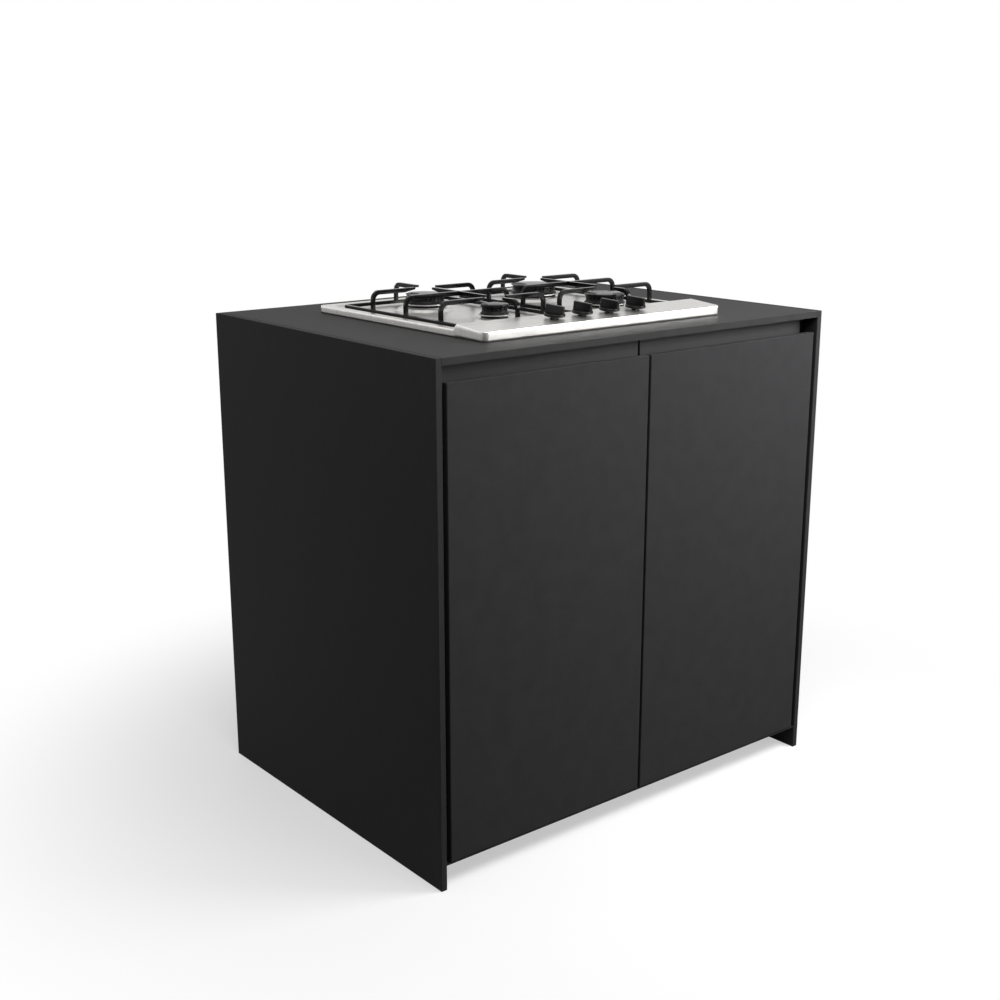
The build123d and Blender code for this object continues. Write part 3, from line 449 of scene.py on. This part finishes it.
def boss_rings(cap_radius):
    """Half profile of the boss from its foot inwards: a flank along the smooth cubic, the flat top
    and the edge turned down into the burner's hole."""
    foot = cap_radius + boss_top_margin + boss_slope + boss_foot_round
    share = np.linspace(0, 1, 9)
    flank = zip(foot - share * (boss_slope + 2 * boss_foot_round), boss_height * soft_step(share))
    hole = cap_radius - cup_hole_in
    lip = burner_hole_lip
    turned_in = [(hole + lip, 0), (hole + lip / 4, -lip / 4), (hole, -lip)]
    return list(flank) + [(radius, boss_height + drop) for radius, drop in turned_in]


def hob_top():
    """The whole pressed sheet: plan grid with rounded corners, a skirt down to the worktop, a boss
    in each quarter of the well and a hole for each knob."""
    half_x = hob_width / 2
    half_y = hob_depth / 2
    inner_x = half_x - hob_corner
    inner_y = half_y - hob_corner
    near_crest = strip_depth - half_y - crest_margin
    knob_front, knob_rear = knob_y - knob_cell, knob_y + knob_cell
    brim = [(0.0, 0.5, 0.17), (0.5, 2.0, 0.5), (2.0, hob_corner, 2.0)]
    xs = [(-burner_field_x, 0, 7.5), (0, burner_field_x, 7.5)]
    xs += [(-inner_x, -burner_field_x, 1.25), (burner_field_x, inner_x, 1.25)]
    xs += [(x - knob_cell, x + knob_cell, 3.0) for x in knob_xs]
    ys = [(-inner_y, knob_front, 4.5), (knob_front, knob_rear, 3.0), (knob_rear, near_crest, 4.0)]
    ys += [(near_crest, burner_field_front, 0.9), (burner_field_front, burner_split_y, 7.0)]
    ys += [(burner_split_y, burner_field_rear, 7.0), (burner_field_rear, inner_y, 1.25)]
    for stretches, half in ((xs, half_x), (ys, half_y)):
        stretches += [(a - half, b - half, step) for a, b, step in brim]
        stretches += [(half - b, half - a, step) for a, b, step in brim]
    line_x, line_y = lines(*xs), lines(*ys)
    skirt = np.array([0.25, 0.5, 0.75, 1.0])
    padded_x = np.concatenate([-half_x - skirt[::-1], line_x, half_x + skirt])
    padded_y = np.concatenate([-half_y - skirt[::-1], line_y, half_y + skirt])
    x, y = np.meshgrid(padded_x, padded_y)
    below = np.clip(np.maximum(np.abs(x) - half_x, np.abs(y) - half_y), 0, 1)
    x, y = cornered(np.clip(x, -half_x, half_x), np.clip(y, -half_y, half_y))
    height = (hob_height(x, y) - edge_drop(x, y)) * (1 - below)
    points, quads = grid(np.stack([x, y, height], axis=2))
    mid_x = (padded_x[:-1] + padded_x[1:])[None] / 2
    mid_y = (padded_y[:-1] + padded_y[1:])[:, None] / 2
    cut = (np.abs(mid_x) < burner_field_x) & (mid_y > burner_field_front) & (mid_y < burner_field_rear)
    for knob_x in knob_xs:
        cut |= (np.abs(mid_x - knob_x) < knob_cell) & (np.abs(mid_y - knob_y) < knob_cell)
    shells = [(points, np.array(quads)[~cut.ravel()].tolist())]
    for burner_x, burner_y, radius in burners.values():
        cell_x = between(line_x, *sorted((0.0, math.copysign(burner_field_x, burner_x))))
        field_end = burner_field_rear if burner_y > burner_split_y else burner_field_front
        cell_y = between(line_y, *sorted((burner_split_y, field_end)))
        shells.append(holed_cell(cell_x, cell_y, (burner_x, burner_y), boss_rings(radius)))
    rings = [(knob_hole_radius + out, drop) for out, drop in knob_hole_lip]
    cell_y = between(line_y, knob_front, knob_rear)
    for knob_x in knob_xs:
        cell_x = between(line_x, knob_x - knob_cell, knob_x + knob_cell)
        shells.append(holed_cell(cell_x, cell_y, (knob_x, knob_y), rings))
    made = piece("hob_top", moved(joined(*shells), hob_place), closed=False, sharp=60.0)
    wall = made.modifiers.new("sheet", "SOLIDIFY")
    wall.thickness = hob_sheet * metres
    wall.offset = -1.0
    return made


# Burner parts


def burner_cap(radius):
    """Enamelled cap: flat dome whose height falls with the square of the distance from the middle,
    rounded upper and lower edges, and the locating ring underneath."""
    edge = cap_under + cap_edge
    side = radius - cap_round
    shoulder = side - cap_shoulder
    reach = np.linspace(0, shoulder, 14)
    profile = list(zip(reach, edge + cap_dome_foot + cap_dome * (1 - (reach / shoulder) ** 2)))
    profile += [(shoulder + out, edge + up) for out, up in cap_shoulder_line]
    profile += arc((side, edge - cap_edge_fall - cap_round), cap_round, 70, 0)
    profile += arc((side, cap_under + cap_round), cap_round, 0, -90)
    ring = radius - crown_set_in - crown_wall - cap_ring_gap
    profile += [(ring, cap_under), (ring, cap_under - cap_ring)]
    profile += [(ring - cap_ring, cap_under - cap_ring), (ring - cap_ring, cap_under), (0, cap_under)]
    return turned(profile)


def burner_crown(radius):
    """Flame spreader: flared foot, upright wall and gas slots. The profile goes round in even
    steps, and over a slot its rim is held down by the slot's depth times a soft-edged window."""
    wall = radius - crown_set_in
    foot = wall + crown_foot_flare
    bore = wall - crown_wall
    top = crown_foot + crown_height
    edge = crown_round
    profile = [(bore - crown_ledge, crown_foot), (foot - edge, crown_foot)]
    profile += arc((foot - edge, crown_foot + edge), edge, -90, 0, 4)
    profile += [(wall + out, crown_foot + up) for out, up in crown_flare_line]
    profile += [(wall, top - port_depth - port_foot)]
    profile += [(wall, z) for z in np.linspace(top - port_depth, top - edge, 6)]
    profile += arc((wall - edge, top - edge), edge, 0, 90, 4)
    profile += arc((bore + edge, top - edge), edge, 90, 180, 4)
    profile += [(bore, top - port_depth), (bore, crown_foot + crown_floor)]
    profile += [(bore - crown_ledge, crown_foot + crown_floor)]
    reach, level = np.array(profile).T
    ports = 2 * round(math.pi * radius / port_pitch)
    angle = np.linspace(0, 2 * math.pi, ports * port_steps, endpoint=False)[:, None]
    from_slot = (angle * ports / (2 * math.pi) + 0.5) % 1 - 0.5
    from_slot = np.abs(from_slot) * 2 * math.pi * wall / ports
    window = soft_step((port_width / 2 + port_blend / 2 - from_slot) / port_blend)
    height = np.minimum(level, top - port_depth * window)
    rings = np.stack([np.cos(angle) * reach, np.sin(angle) * reach, height], axis=2)
    return grid(rings, loop_rows=True, loop_columns=True)


# Knobs


def knob_shape():
    """Skirt disc and neck as one turned form, and a grip lofted through rounded rectangles that
    draw in evenly up the sides and then along a quarter circle at the top."""
    foot, neck = knob_neck_foot, knob_neck_radius
    top = knob_lift + knob_skirt_thickness
    edge = knob_skirt_round
    rim = knob_skirt_radius - edge
    border = knob_skirt_radius - knob_border
    plate = top - knob_border_depth
    profile = [(0, foot), (neck - knob_neck_chamfer, foot), (neck, foot + knob_neck_chamfer)]
    profile += [(neck, knob_lift - knob_neck_fillet), (neck + knob_neck_fillet, knob_lift)]
    profile += [(rim, knob_lift)]
    profile += arc((rim, knob_lift + edge), edge, -90, 0, 4)
    profile += arc((rim, top - edge), edge, 0, 90, 4)
    profile += [(border, top), (border - knob_border_slope, plate), (0, plate)]
    t = np.linspace(0, math.pi / 2, 5)
    heights = top + knob_grip_height - knob_grip_round * (1 - np.sin(t))
    insets = knob_grip_taper + knob_grip_round * (1 - np.cos(t))
    levels = []
    for height, inset in zip([top - knob_grip_root, *heights], [0.0, *insets]):
        corner = max(knob_grip_corner - inset, knob_grip_least_corner)
        flat = rectangle(knob_grip_width / 2 - inset, knob_grip_length / 2 - inset, corner, 7)
        levels.append(np.column_stack([flat, np.full(len(flat), height)]))
    grip = moved(lofted(levels), (0, 0, 0), turn=math.radians(knob_grip_turn))
    return joined(turned(profile, 72), grip)


# Pan supports


def stations(start, end):
    """Evenly spaced places from start to end, and closer ones within the edge round of the end."""
    count = max(2, round(abs(end - start) / support_spacing) + 1)
    last = end - np.sign(end - start) * support_round * np.array([1.0, 0.6, 0.3, 0.1, 0.0])
    return np.concatenate([np.linspace(start, last[0], count)[:-1], last])


def support_leg(reach):
    """Outer and inner line of a leg and its bend, from the rail up: the bend's two lines are
    quarter circles through the same angles."""
    angle = np.linspace(0, math.pi / 2, 13)
    under = support_top - support_finger_height
    arcs = []
    for radius, top in ((support_bend, support_top), (support_bend - support_bar, under)):
        x = reach - support_bend + radius * np.cos(angle)
        z = top - radius + radius * np.sin(angle)
        x = np.append([x[0], x[0]], x)
        z = np.append([rail_foot, rail_foot + 1.0], z)
        arcs.append(np.column_stack([x, z]))
    return arcs


def support_under(x):
    """Height of a finger's underside at x from the burner's middle: it rises evenly to the tip."""
    share = np.clip((x - support_tip_radius) / support_tip_taper, 0, 1)
    tip = support_top - support_tip_height
    return tip + (support_top - support_finger_height - tip) * share


def support_finger(reach):
    """A leg with its bend and the finger towards the burner, drawn from the burner's middle
    along X."""
    outer, inner = support_leg(reach)
    x = stations(reach - support_bend, support_tip_radius)[1:]
    outer = np.concatenate([outer, np.column_stack([x, np.full_like(x, support_top)])])
    inner = np.concatenate([inner, np.column_stack([x, support_under(x)])])
    return bar(outer, inner)


def support_arch(half):
    """The middle bar with a leg at both ends, drawn from its middle along X."""
    flip = np.array([-1.0, 1.0])
    return bar(*(np.concatenate([line, (line * flip)[::-1]]) for line in support_leg(half)))


def support_spine(length):
    """The bar between the two burners, pointed at both ends, from the rear tip along -X."""
    x = stations(length / 2, length)
    x = np.concatenate([length - x[::-1], x[1:]])
    outer = np.column_stack([-x, np.full_like(x, support_top)])
    under = support_under(support_tip_radius + np.minimum(x, length - x))
    return bar(outer, np.column_stack([-x, under]))


def support_rail():
    """Low frame of the right pan support: a rounded rectangular section carried round a rounded
    rectangle, set off along the path's mitred normal and up."""
    half = support_bar / 2
    x0, x1 = support_inner + half, support_outer - half
    y0, y1 = support_front + half, support_rear - half
    path = rounded_outline([(x1, y0), (x1, y1), (x0, y1), (x0, y0)], support_corner - half, 9)
    section = rectangle(half, rail_height / 2, support_round, 4)
    flat = path[:, None] + mitres(path)[:, None] * section[None, :, :1]
    level = section[None, :, 1:] + rail_bottom + rail_height / 2
    height = np.broadcast_to(level, flat.shape[:2] + (1,))
    return grid(np.concatenate([flat, height], axis=2), loop_rows=True, loop_columns=True)


def pan_support(side):
    """Rail, six legs with fingers, the arch across the middle and the spine between the burners,
    drawn for the right side and mirrored for the left."""
    x, rear_y, _ = burners["rear_right"]
    front_y = burners["front_right"][1]
    quarter = math.pi / 2
    shells = [support_rail()]
    for y in (front_y, rear_y):
        shells.append(moved(support_finger(support_outer - x), (x, y, 0)))
        shells.append(moved(support_finger(x - support_inner), (x, y, 0), turn=math.pi))
    shells.append(moved(support_finger(support_rear - rear_y), (x, rear_y, 0), turn=quarter))
    shells.append(moved(support_finger(front_y - support_front), (x, front_y, 0), turn=-quarter))
    half = (support_outer - support_inner) / 2
    shells.append(moved(support_arch(half), (support_inner + half, (front_y + rear_y) / 2, 0)))
    length = rear_y - front_y - 2 * support_tip_radius
    shells.append(moved(support_spine(length), (x, rear_y - support_tip_radius, 0), turn=quarter))
    points, faces = joined(*shells)
    return points * np.array([side, 1, 1]) + hob_place, faces


# Insect screens


def insect_screen(height):
    """Fine woven sheet behind the slots of a vent grille: a rounded rectangle carried through its
    own thickness."""
    flat = rectangle(screen_width / 2, screen_height / 2, screen_corner)
    levels = []
    for y in (screen_rear - screen_thickness, screen_rear):
        levels.append(np.column_stack([flat[:, 0], np.full(len(flat), y), flat[:, 1] + height]))
    return lofted(levels)


# Finishes


class Level:
    """A value that varies over a surface. Arithmetic on it adds Math nodes."""

    def __init__(self, nodes, socket):
        self.nodes = nodes
        self.socket = socket

    def __add__(self, other):
        return self.nodes.maths("ADD", self, other)

    def __sub__(self, other):
        return self.nodes.maths("SUBTRACT", self, other)

    def __rsub__(self, other):
        return self.nodes.maths("SUBTRACT", other, self)

    def __mul__(self, other):
        return self.nodes.maths("MULTIPLY", self, other)

    __radd__ = __add__
    __rmul__ = __mul__


class Nodes:
    """A node tree that starts empty."""

    def __init__(self, tree):
        self.tree = tree
        self.tree.nodes.clear()

    def node(self, kind, settings, inputs, output=0):
        """Adds a node: its settings first, then the values or links of its sockets."""
        made = self.tree.nodes.new(kind)
        for key, value in settings.items():
            setattr(made, key, value)
        for key, value in inputs.items():
            if isinstance(value, Level):
                self.tree.links.new(value.socket, made.inputs[key])
            else:
                made.inputs[key].default_value = value
        return Level(self, made.outputs[output]) if made.outputs else None

    def maths(self, operation, first, second):
        """One Math node on two values."""
        return self.node("ShaderNodeMath", {"operation": operation}, {0: first, 1: second})

    def window(self, value, low, high, start=0.0, end=1.0):
        """The start below low and the end above high, smooth between."""
        values = {"Value": value, "From Min": low, "From Max": high, "To Min": start, "To Max": end}
        return self.node("ShaderNodeMapRange", {"interpolation_type": "SMOOTHSTEP"}, values)

    def ray(self, kind):
        """1 for rays of this kind and 0 for the others."""
        return self.node("ShaderNodeLightPath", {}, {}, kind)

    def blend(self, share, first, second):
        """Shader between two, by share."""
        return self.node("ShaderNodeMixShader", {}, {0: share, 1: first, 2: second})


class Finish(Nodes):
    """A procedural material on the piece's own place in metres."""

    def __init__(self, name, roughness, sockets):
        self.material = bpy.data.materials.new(name)
        self.material.use_nodes = True
        super().__init__(self.material.node_tree)
        values = {"Roughness": roughness, **sockets}
        self.surface = self.node("ShaderNodeBsdfPrincipled", {}, values)
        self.node("ShaderNodeOutputMaterial", {}, {"Surface": self.surface})
        self.place = self.node("ShaderNodeTexCoord", {}, {}, "Object")

    def noise(self, scale, detail, stretch=(1, 1, 1)):
        """Noise from 0 to 1, with its spots per metre, stretched by the given scales."""
        place = self.node("ShaderNodeMapping", {}, {"Vector": self.place, "Scale": stretch})
        return self.node("ShaderNodeTexNoise", {}, {"Vector": place, "Scale": scale, "Detail": detail})

    def along(self, axis):
        """How far along an axis the place is, in metres."""
        return self.node("ShaderNodeSeparateXYZ", {}, {"Vector": self.place}, axis)

    def mix(self, share, first, second):
        """Colour between two, by share. A Mix node's colour sockets go by number."""
        values = {0: share, 6: rgba(first), 7: rgba(second)}
        return self.node("ShaderNodeMix", {"data_type": "RGBA"}, values, 2)

    def uneven_gloss(self, roughness, spread, pattern):
        """Roughness that varies by this spread about its middle, with a pattern from 0 to 1."""
        self.feed("Roughness", roughness - spread / 2 + pattern * spread)

    def relief(self, height, depth, strength=1.0):
        """Sends a height from 0 to 1, that is this deep in metres, to the surface's normal."""
        values = {"Height": height, "Distance": depth, "Strength": strength}
        self.feed("Normal", self.node("ShaderNodeBump", {}, values))

    def feed(self, socket, level):
        """Links a level to one of the surface's sockets."""
        self.tree.links.new(level.socket, self.surface.socket.node.inputs[socket])


def rgba(colour):
    """A colour with alpha 1, or a link left as it is."""
    return colour if isinstance(colour, Level) else (*colour, 1.0)


def slab_finish(name, dark, light, roughness, specular):
    """Fine-grained compact slab: soft clouds, a fine speckle and a barely felt texture."""
    made = Finish(name, roughness, {"Specular IOR Level": specular})
    clouds = made.noise(26.0, 5.0)
    speckle = made.noise(650.0, 2.0)
    tone = made.window(clouds * 0.45 + speckle * 0.55, 0.32, 0.68)
    made.feed("Base Color", made.mix(tone, dark, light))
    made.uneven_gloss(roughness, 0.1, clouds)
    made.relief(speckle, 0.00006, 0.5)
    return made.material


def enamel_finish(name, colour, roughness, coat=0.0, grain=420.0, depth=0.00005, specular=0.5):
    """Fired or moulded black skin with a slight orange peel and uneven gloss."""
    sockets = {"Coat Weight": coat, "Coat Roughness": 0.25, "Specular IOR Level": specular}
    made = Finish(name, roughness, sockets)
    peel = made.noise(grain, 2.0)
    patches = made.noise(40.0, 4.0)
    made.feed("Base Color", made.mix(patches, [c * 0.8 for c in colour], [c * 1.25 for c in colour]))
    made.uneven_gloss(roughness, 0.12, patches)
    made.relief(peel, depth)
    return made.material


def brushed_finish(name, dark, light, roughness, stretch):
    """Brushed metal: streaks much longer than wide, in colour, gloss and relief."""
    made = Finish(name, roughness, {"Metallic": 1.0})
    fine = made.noise(1500.0, 3.0, stretch)
    broad = made.noise(160.0, 3.0, stretch)
    streaks = fine * 0.6 + broad * 0.4
    made.feed("Base Color", made.mix(made.window(streaks, 0.3, 0.7), dark, light))
    made.uneven_gloss(roughness, 0.14, streaks)
    made.relief(fine, 0.00002)
    return made.material


def metal_finish(name, dark, light, roughness, grain, depth=0.00003, painted_shade_band=None):
    """Cast, turned or plated metal with an even grain and dull patches. Between the two heights of
    the painted shade band the colour is painted near black: painted shade on a burner cup's neck."""
    made = Finish(name, roughness, {"Metallic": 1.0})
    skin = made.noise(grain, 3.0)
    patches = made.noise(30.0, 4.0)
    colour = made.mix(made.window(patches * 0.6 + skin * 0.4, 0.35, 0.65), dark, light)
    if painted_shade_band:
        height = made.along("Z")
        low, high = (made.window(height, z * metres, (z + painted_shade_edge) * metres) for z in painted_shade_band)
        # Painted shade: between the band's two heights the colour goes near black, standing in for the
        # shade on the cup's neck
        colour = made.mix(low - high, colour, (0.02, 0.02, 0.02))
    made.feed("Base Color", colour)
    made.uneven_gloss(roughness, 0.16, patches)
    made.relief(skin, depth)
    return made.material


def woven_finish(name, dark, light, roughness, threads):
    """Plain weave: two crossed sine waves of this many threads per metre, in tone and relief."""
    made = Finish(name, roughness, {})
    turns = [made.along(axis) * (2 * math.pi * threads) for axis in ("X", "Z")]
    waves = [made.node("ShaderNodeMath", {"operation": "SINE"}, {0: turn}) for turn in turns]
    weave = waves[0] * waves[1] * 0.5 + 0.5
    made.feed("Base Color", made.mix(weave, dark, light))
    made.relief(weave, 0.0001)
    return made.material


def grey(level, blue=None):
    """A grey, with its own level of blue where that differs."""
    return (level, level, level if blue is None else blue)


finishes = {
    "slab": slab_finish("slab_laminate", grey(0.031, 0.032), grey(0.039, 0.0405), 0.6, 0.04),
    "worktop_slab": slab_finish("worktop_laminate", grey(0.024), grey(0.036), 0.6, 0.08),
    "fascia": enamel_finish(
        "powder_coat_grey", grey(0.034, 0.035), 0.55, grain=900.0, specular=0.25
    ),
    "carcass": enamel_finish(
        "powder_coat_black", grey(0.018, 0.019), 0.6, grain=900.0, specular=0.2
    ),
    "black_plastic": enamel_finish("black_plastic", grey(0.016, 0.017), 0.45, grain=1200.0),
    "rubber": enamel_finish("rubber", grey(0.012), 0.75, grain=700.0, specular=0.3),
    "support_enamel": enamel_finish(
        "support_enamel", grey(0.0035, 0.0037), 0.13, depth=0.00002, specular=0.13
    ),
    "cap_enamel": enamel_finish(
        "cap_enamel", grey(0.0035, 0.0037), 0.2, depth=0.00003, specular=0.18
    ),
    "crown_black": enamel_finish(
        "crown_black", grey(0.006, 0.0062), 0.45, grain=800.0, depth=0.0001, specular=0.15
    ),
    "knob_plastic": enamel_finish(
        "knob_plastic", grey(0.0045, 0.0047), 0.3, grain=1500.0, depth=0.00002, specular=0.25
    ),
    "ceramic": enamel_finish("ceramic", (0.78, 0.76, 0.71), 0.25, coat=0.5, depth=0.00002),
    "stainless": brushed_finish(
        "brushed_stainless", (0.58, 0.57, 0.55), (0.71, 0.70, 0.68), 0.36, (0.02, 1, 0.05)
    ),
    "galvanised": metal_finish(
        "galvanised", (0.42, 0.43, 0.44), (0.55, 0.56, 0.57), 0.45, 220.0
    ),
    "insect_screen": woven_finish("black_woven_mesh", grey(0.006), grey(0.02, 0.021), 0.6, 900.0),
    "hinge_steel": metal_finish("nickel_plate", grey(0.30), grey(0.40, 0.39), 0.45, 900.0),
    # The burner cups' finish carries a band of painted shade on their necks
    "cast_aluminium": metal_finish(
        "cast_aluminium", grey(0.46), grey(0.62, 0.61), 0.5, 700.0, 0.0001, cup_neck_shade_heights
    ),
    "pipe_aluminium": metal_finish(
        "drawn_aluminium", grey(0.60, 0.61), grey(0.72, 0.73), 0.35, 600.0
    ),
    "brass": metal_finish("turned_brass", (0.60, 0.44, 0.20), (0.74, 0.57, 0.30), 0.3, 900.0),
}

slot_of = {part["node"]: part["material_slot"] for part in frame["record"]["subparts"]}
for node_name, node in frame["nodes"].items():
    node.data.materials.clear()
    node.data.materials.append(finishes[slot_of[node_name]])


def fit(made, node, body):
    """Puts a new piece in a construction node's place, on its body and in its finish."""
    made.data.materials.append(finishes[slot_of[node]])
    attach(made, body)
    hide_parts(node)


fit(hob_top(), "hob_tray", "cabinet")
for burner, (burner_x, burner_y, cap_radius) in burners.items():
    spot = hob_place + np.array([burner_x, burner_y, 0])
    cap_piece = piece("cap_piece_" + burner, moved(burner_cap(cap_radius), spot))
    fit(cap_piece, "burner_cap_" + burner, "cap_" + burner)
    crown_piece = piece("crown_piece_" + burner, moved(burner_crown(cap_radius), spot))
    fit(crown_piece, "burner_crown_" + burner, "crown_" + burner)
strip_tilt = math.atan((strip_crest_height - strip_front_height) / strip_depth)
knob_surface = strip_front_height + (knob_y + hob_depth / 2) * math.tan(strip_tilt)
for number, knob_x in enumerate(knob_xs, 1):
    spot = hob_place + np.array([knob_x, knob_y, knob_surface])
    knob_piece = flattened(piece(f"knob_piece_{number}", moved(knob_shape(), spot, tilt=strip_tilt)))
    fit(knob_piece, f"knob_{number}", f"tap_knob_{number}")
for side, side_name in ((-1, "left"), (1, "right")):
    support_piece = flattened(piece("pan_support_piece_" + side_name, pan_support(side)))
    fit(support_piece, "pan_support_" + side_name, side_name + "_pan_support")
for vent, height in vent_heights.items():
    screen = piece("insect_screen_" + vent, insect_screen(height))
    screen.data.materials.append(finishes["insect_screen"])
    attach(screen, "cabinet")


# Studio


def studio_floor():
    """Wide level floor. The camera and mirror rays see it near white with the object's soft shadow,
    and fade it to the white of the background with the distance from the middle."""
    material = bpy.data.materials.new("floor")
    material.use_nodes = True
    made = Nodes(material.node_tree)

    def surface(kind, level):
        return made.node(kind, {}, {"Color": rgba(grey(level))})

    seen = made.ray("Is Camera Ray")
    for kind in ("Is Glossy Ray", "Is Transmission Ray"):
        seen = made.maths("MAXIMUM", seen, made.ray(kind))
    place = made.node("ShaderNodeTexCoord", {}, {}, "Object")
    distance = made.node("ShaderNodeVectorMath", {"operation": "LENGTH"}, {0: place}, "Value")
    shaded = surface("ShaderNodeBsdfDiffuse", floor_shadow_share)
    glowing = surface("ShaderNodeEmission", floor_glow)
    lifted = made.node("ShaderNodeAddShader", {}, {0: shaded, 1: glowing})
    white = surface("ShaderNodeEmission", 1.0)
    faded = made.blend(made.window(distance, *floor_fade), lifted, white)
    bounce = surface("ShaderNodeBsdfDiffuse", floor_bounce)
    shown = made.blend(seen, bounce, faded)
    made.node("ShaderNodeOutputMaterial", {}, {"Surface": shown})
    edge = np.linspace(-floor_reach, floor_reach, 3)
    x, y = np.meshgrid(edge, edge)
    floor = piece("floor", grid(np.stack([x, y, np.zeros_like(x)], axis=2)), closed=False)
    floor.data.materials.append(material)


def studio_world():
    """Pale surroundings: white to the camera, dim as light, and in reflections white behind the
    object and darker on the side that it is looked at from, as in a studio."""
    world = bpy.data.worlds.new("studio")
    world.use_nodes = True
    made = Nodes(world.node_tree)

    def surroundings(strength):
        values = {"Color": rgba(grey(1.0)), "Strength": strength}
        return made.node("ShaderNodeBackground", {}, values)

    way = made.node("ShaderNodeTexCoord", {}, {}, "Generated")
    settings = {"operation": "DOT_PRODUCT"}
    behind = made.node("ShaderNodeVectorMath", settings, {0: way, 1: backdrop_way}, "Value")
    mirrored = surroundings(made.window(behind, *mirror_levels))
    shown = surroundings(ambient_level)
    shown = made.blend(made.ray("Is Glossy Ray"), shown, mirrored)
    shown = made.blend(made.ray("Is Camera Ray"), shown, surroundings(1.0))
    made.node("ShaderNodeOutputWorld", {}, {"Surface": shown})
    bpy.context.scene.world = world


def soft_lamp(name, place, target, width, height, power):
    """Rectangular soft light aimed at a point."""
    data = bpy.data.lights.new(name, "AREA")
    data.shape = "RECTANGLE"
    data.size = width
    data.size_y = height
    data.energy = power
    lamp = bpy.data.objects.new(name, data)
    lamp.location = place
    aim = Vector(target) - Vector(place)
    lamp.rotation_euler = aim.to_track_quat("-Z", "Y").to_euler()
    lamp.visible_camera = False
    bpy.context.scene.collection.objects.link(lamp)


def camera():
    """The photograph's viewpoint."""
    data = bpy.data.cameras.new("camera")
    data.lens = camera_lens
    data.sensor_width = camera_film
    made = bpy.data.objects.new("camera", data)
    made.location = camera_place
    made.rotation_euler = (math.radians(camera_tilt), 0, math.radians(camera_turn))
    bpy.context.scene.collection.objects.link(made)
    bpy.context.scene.camera = made


studio_floor()
studio_world()
for lamp_name, setting in lamps.items():
    soft_lamp(lamp_name, *setting)
camera()
bpy.context.scene.view_settings.view_transform = "Standard"
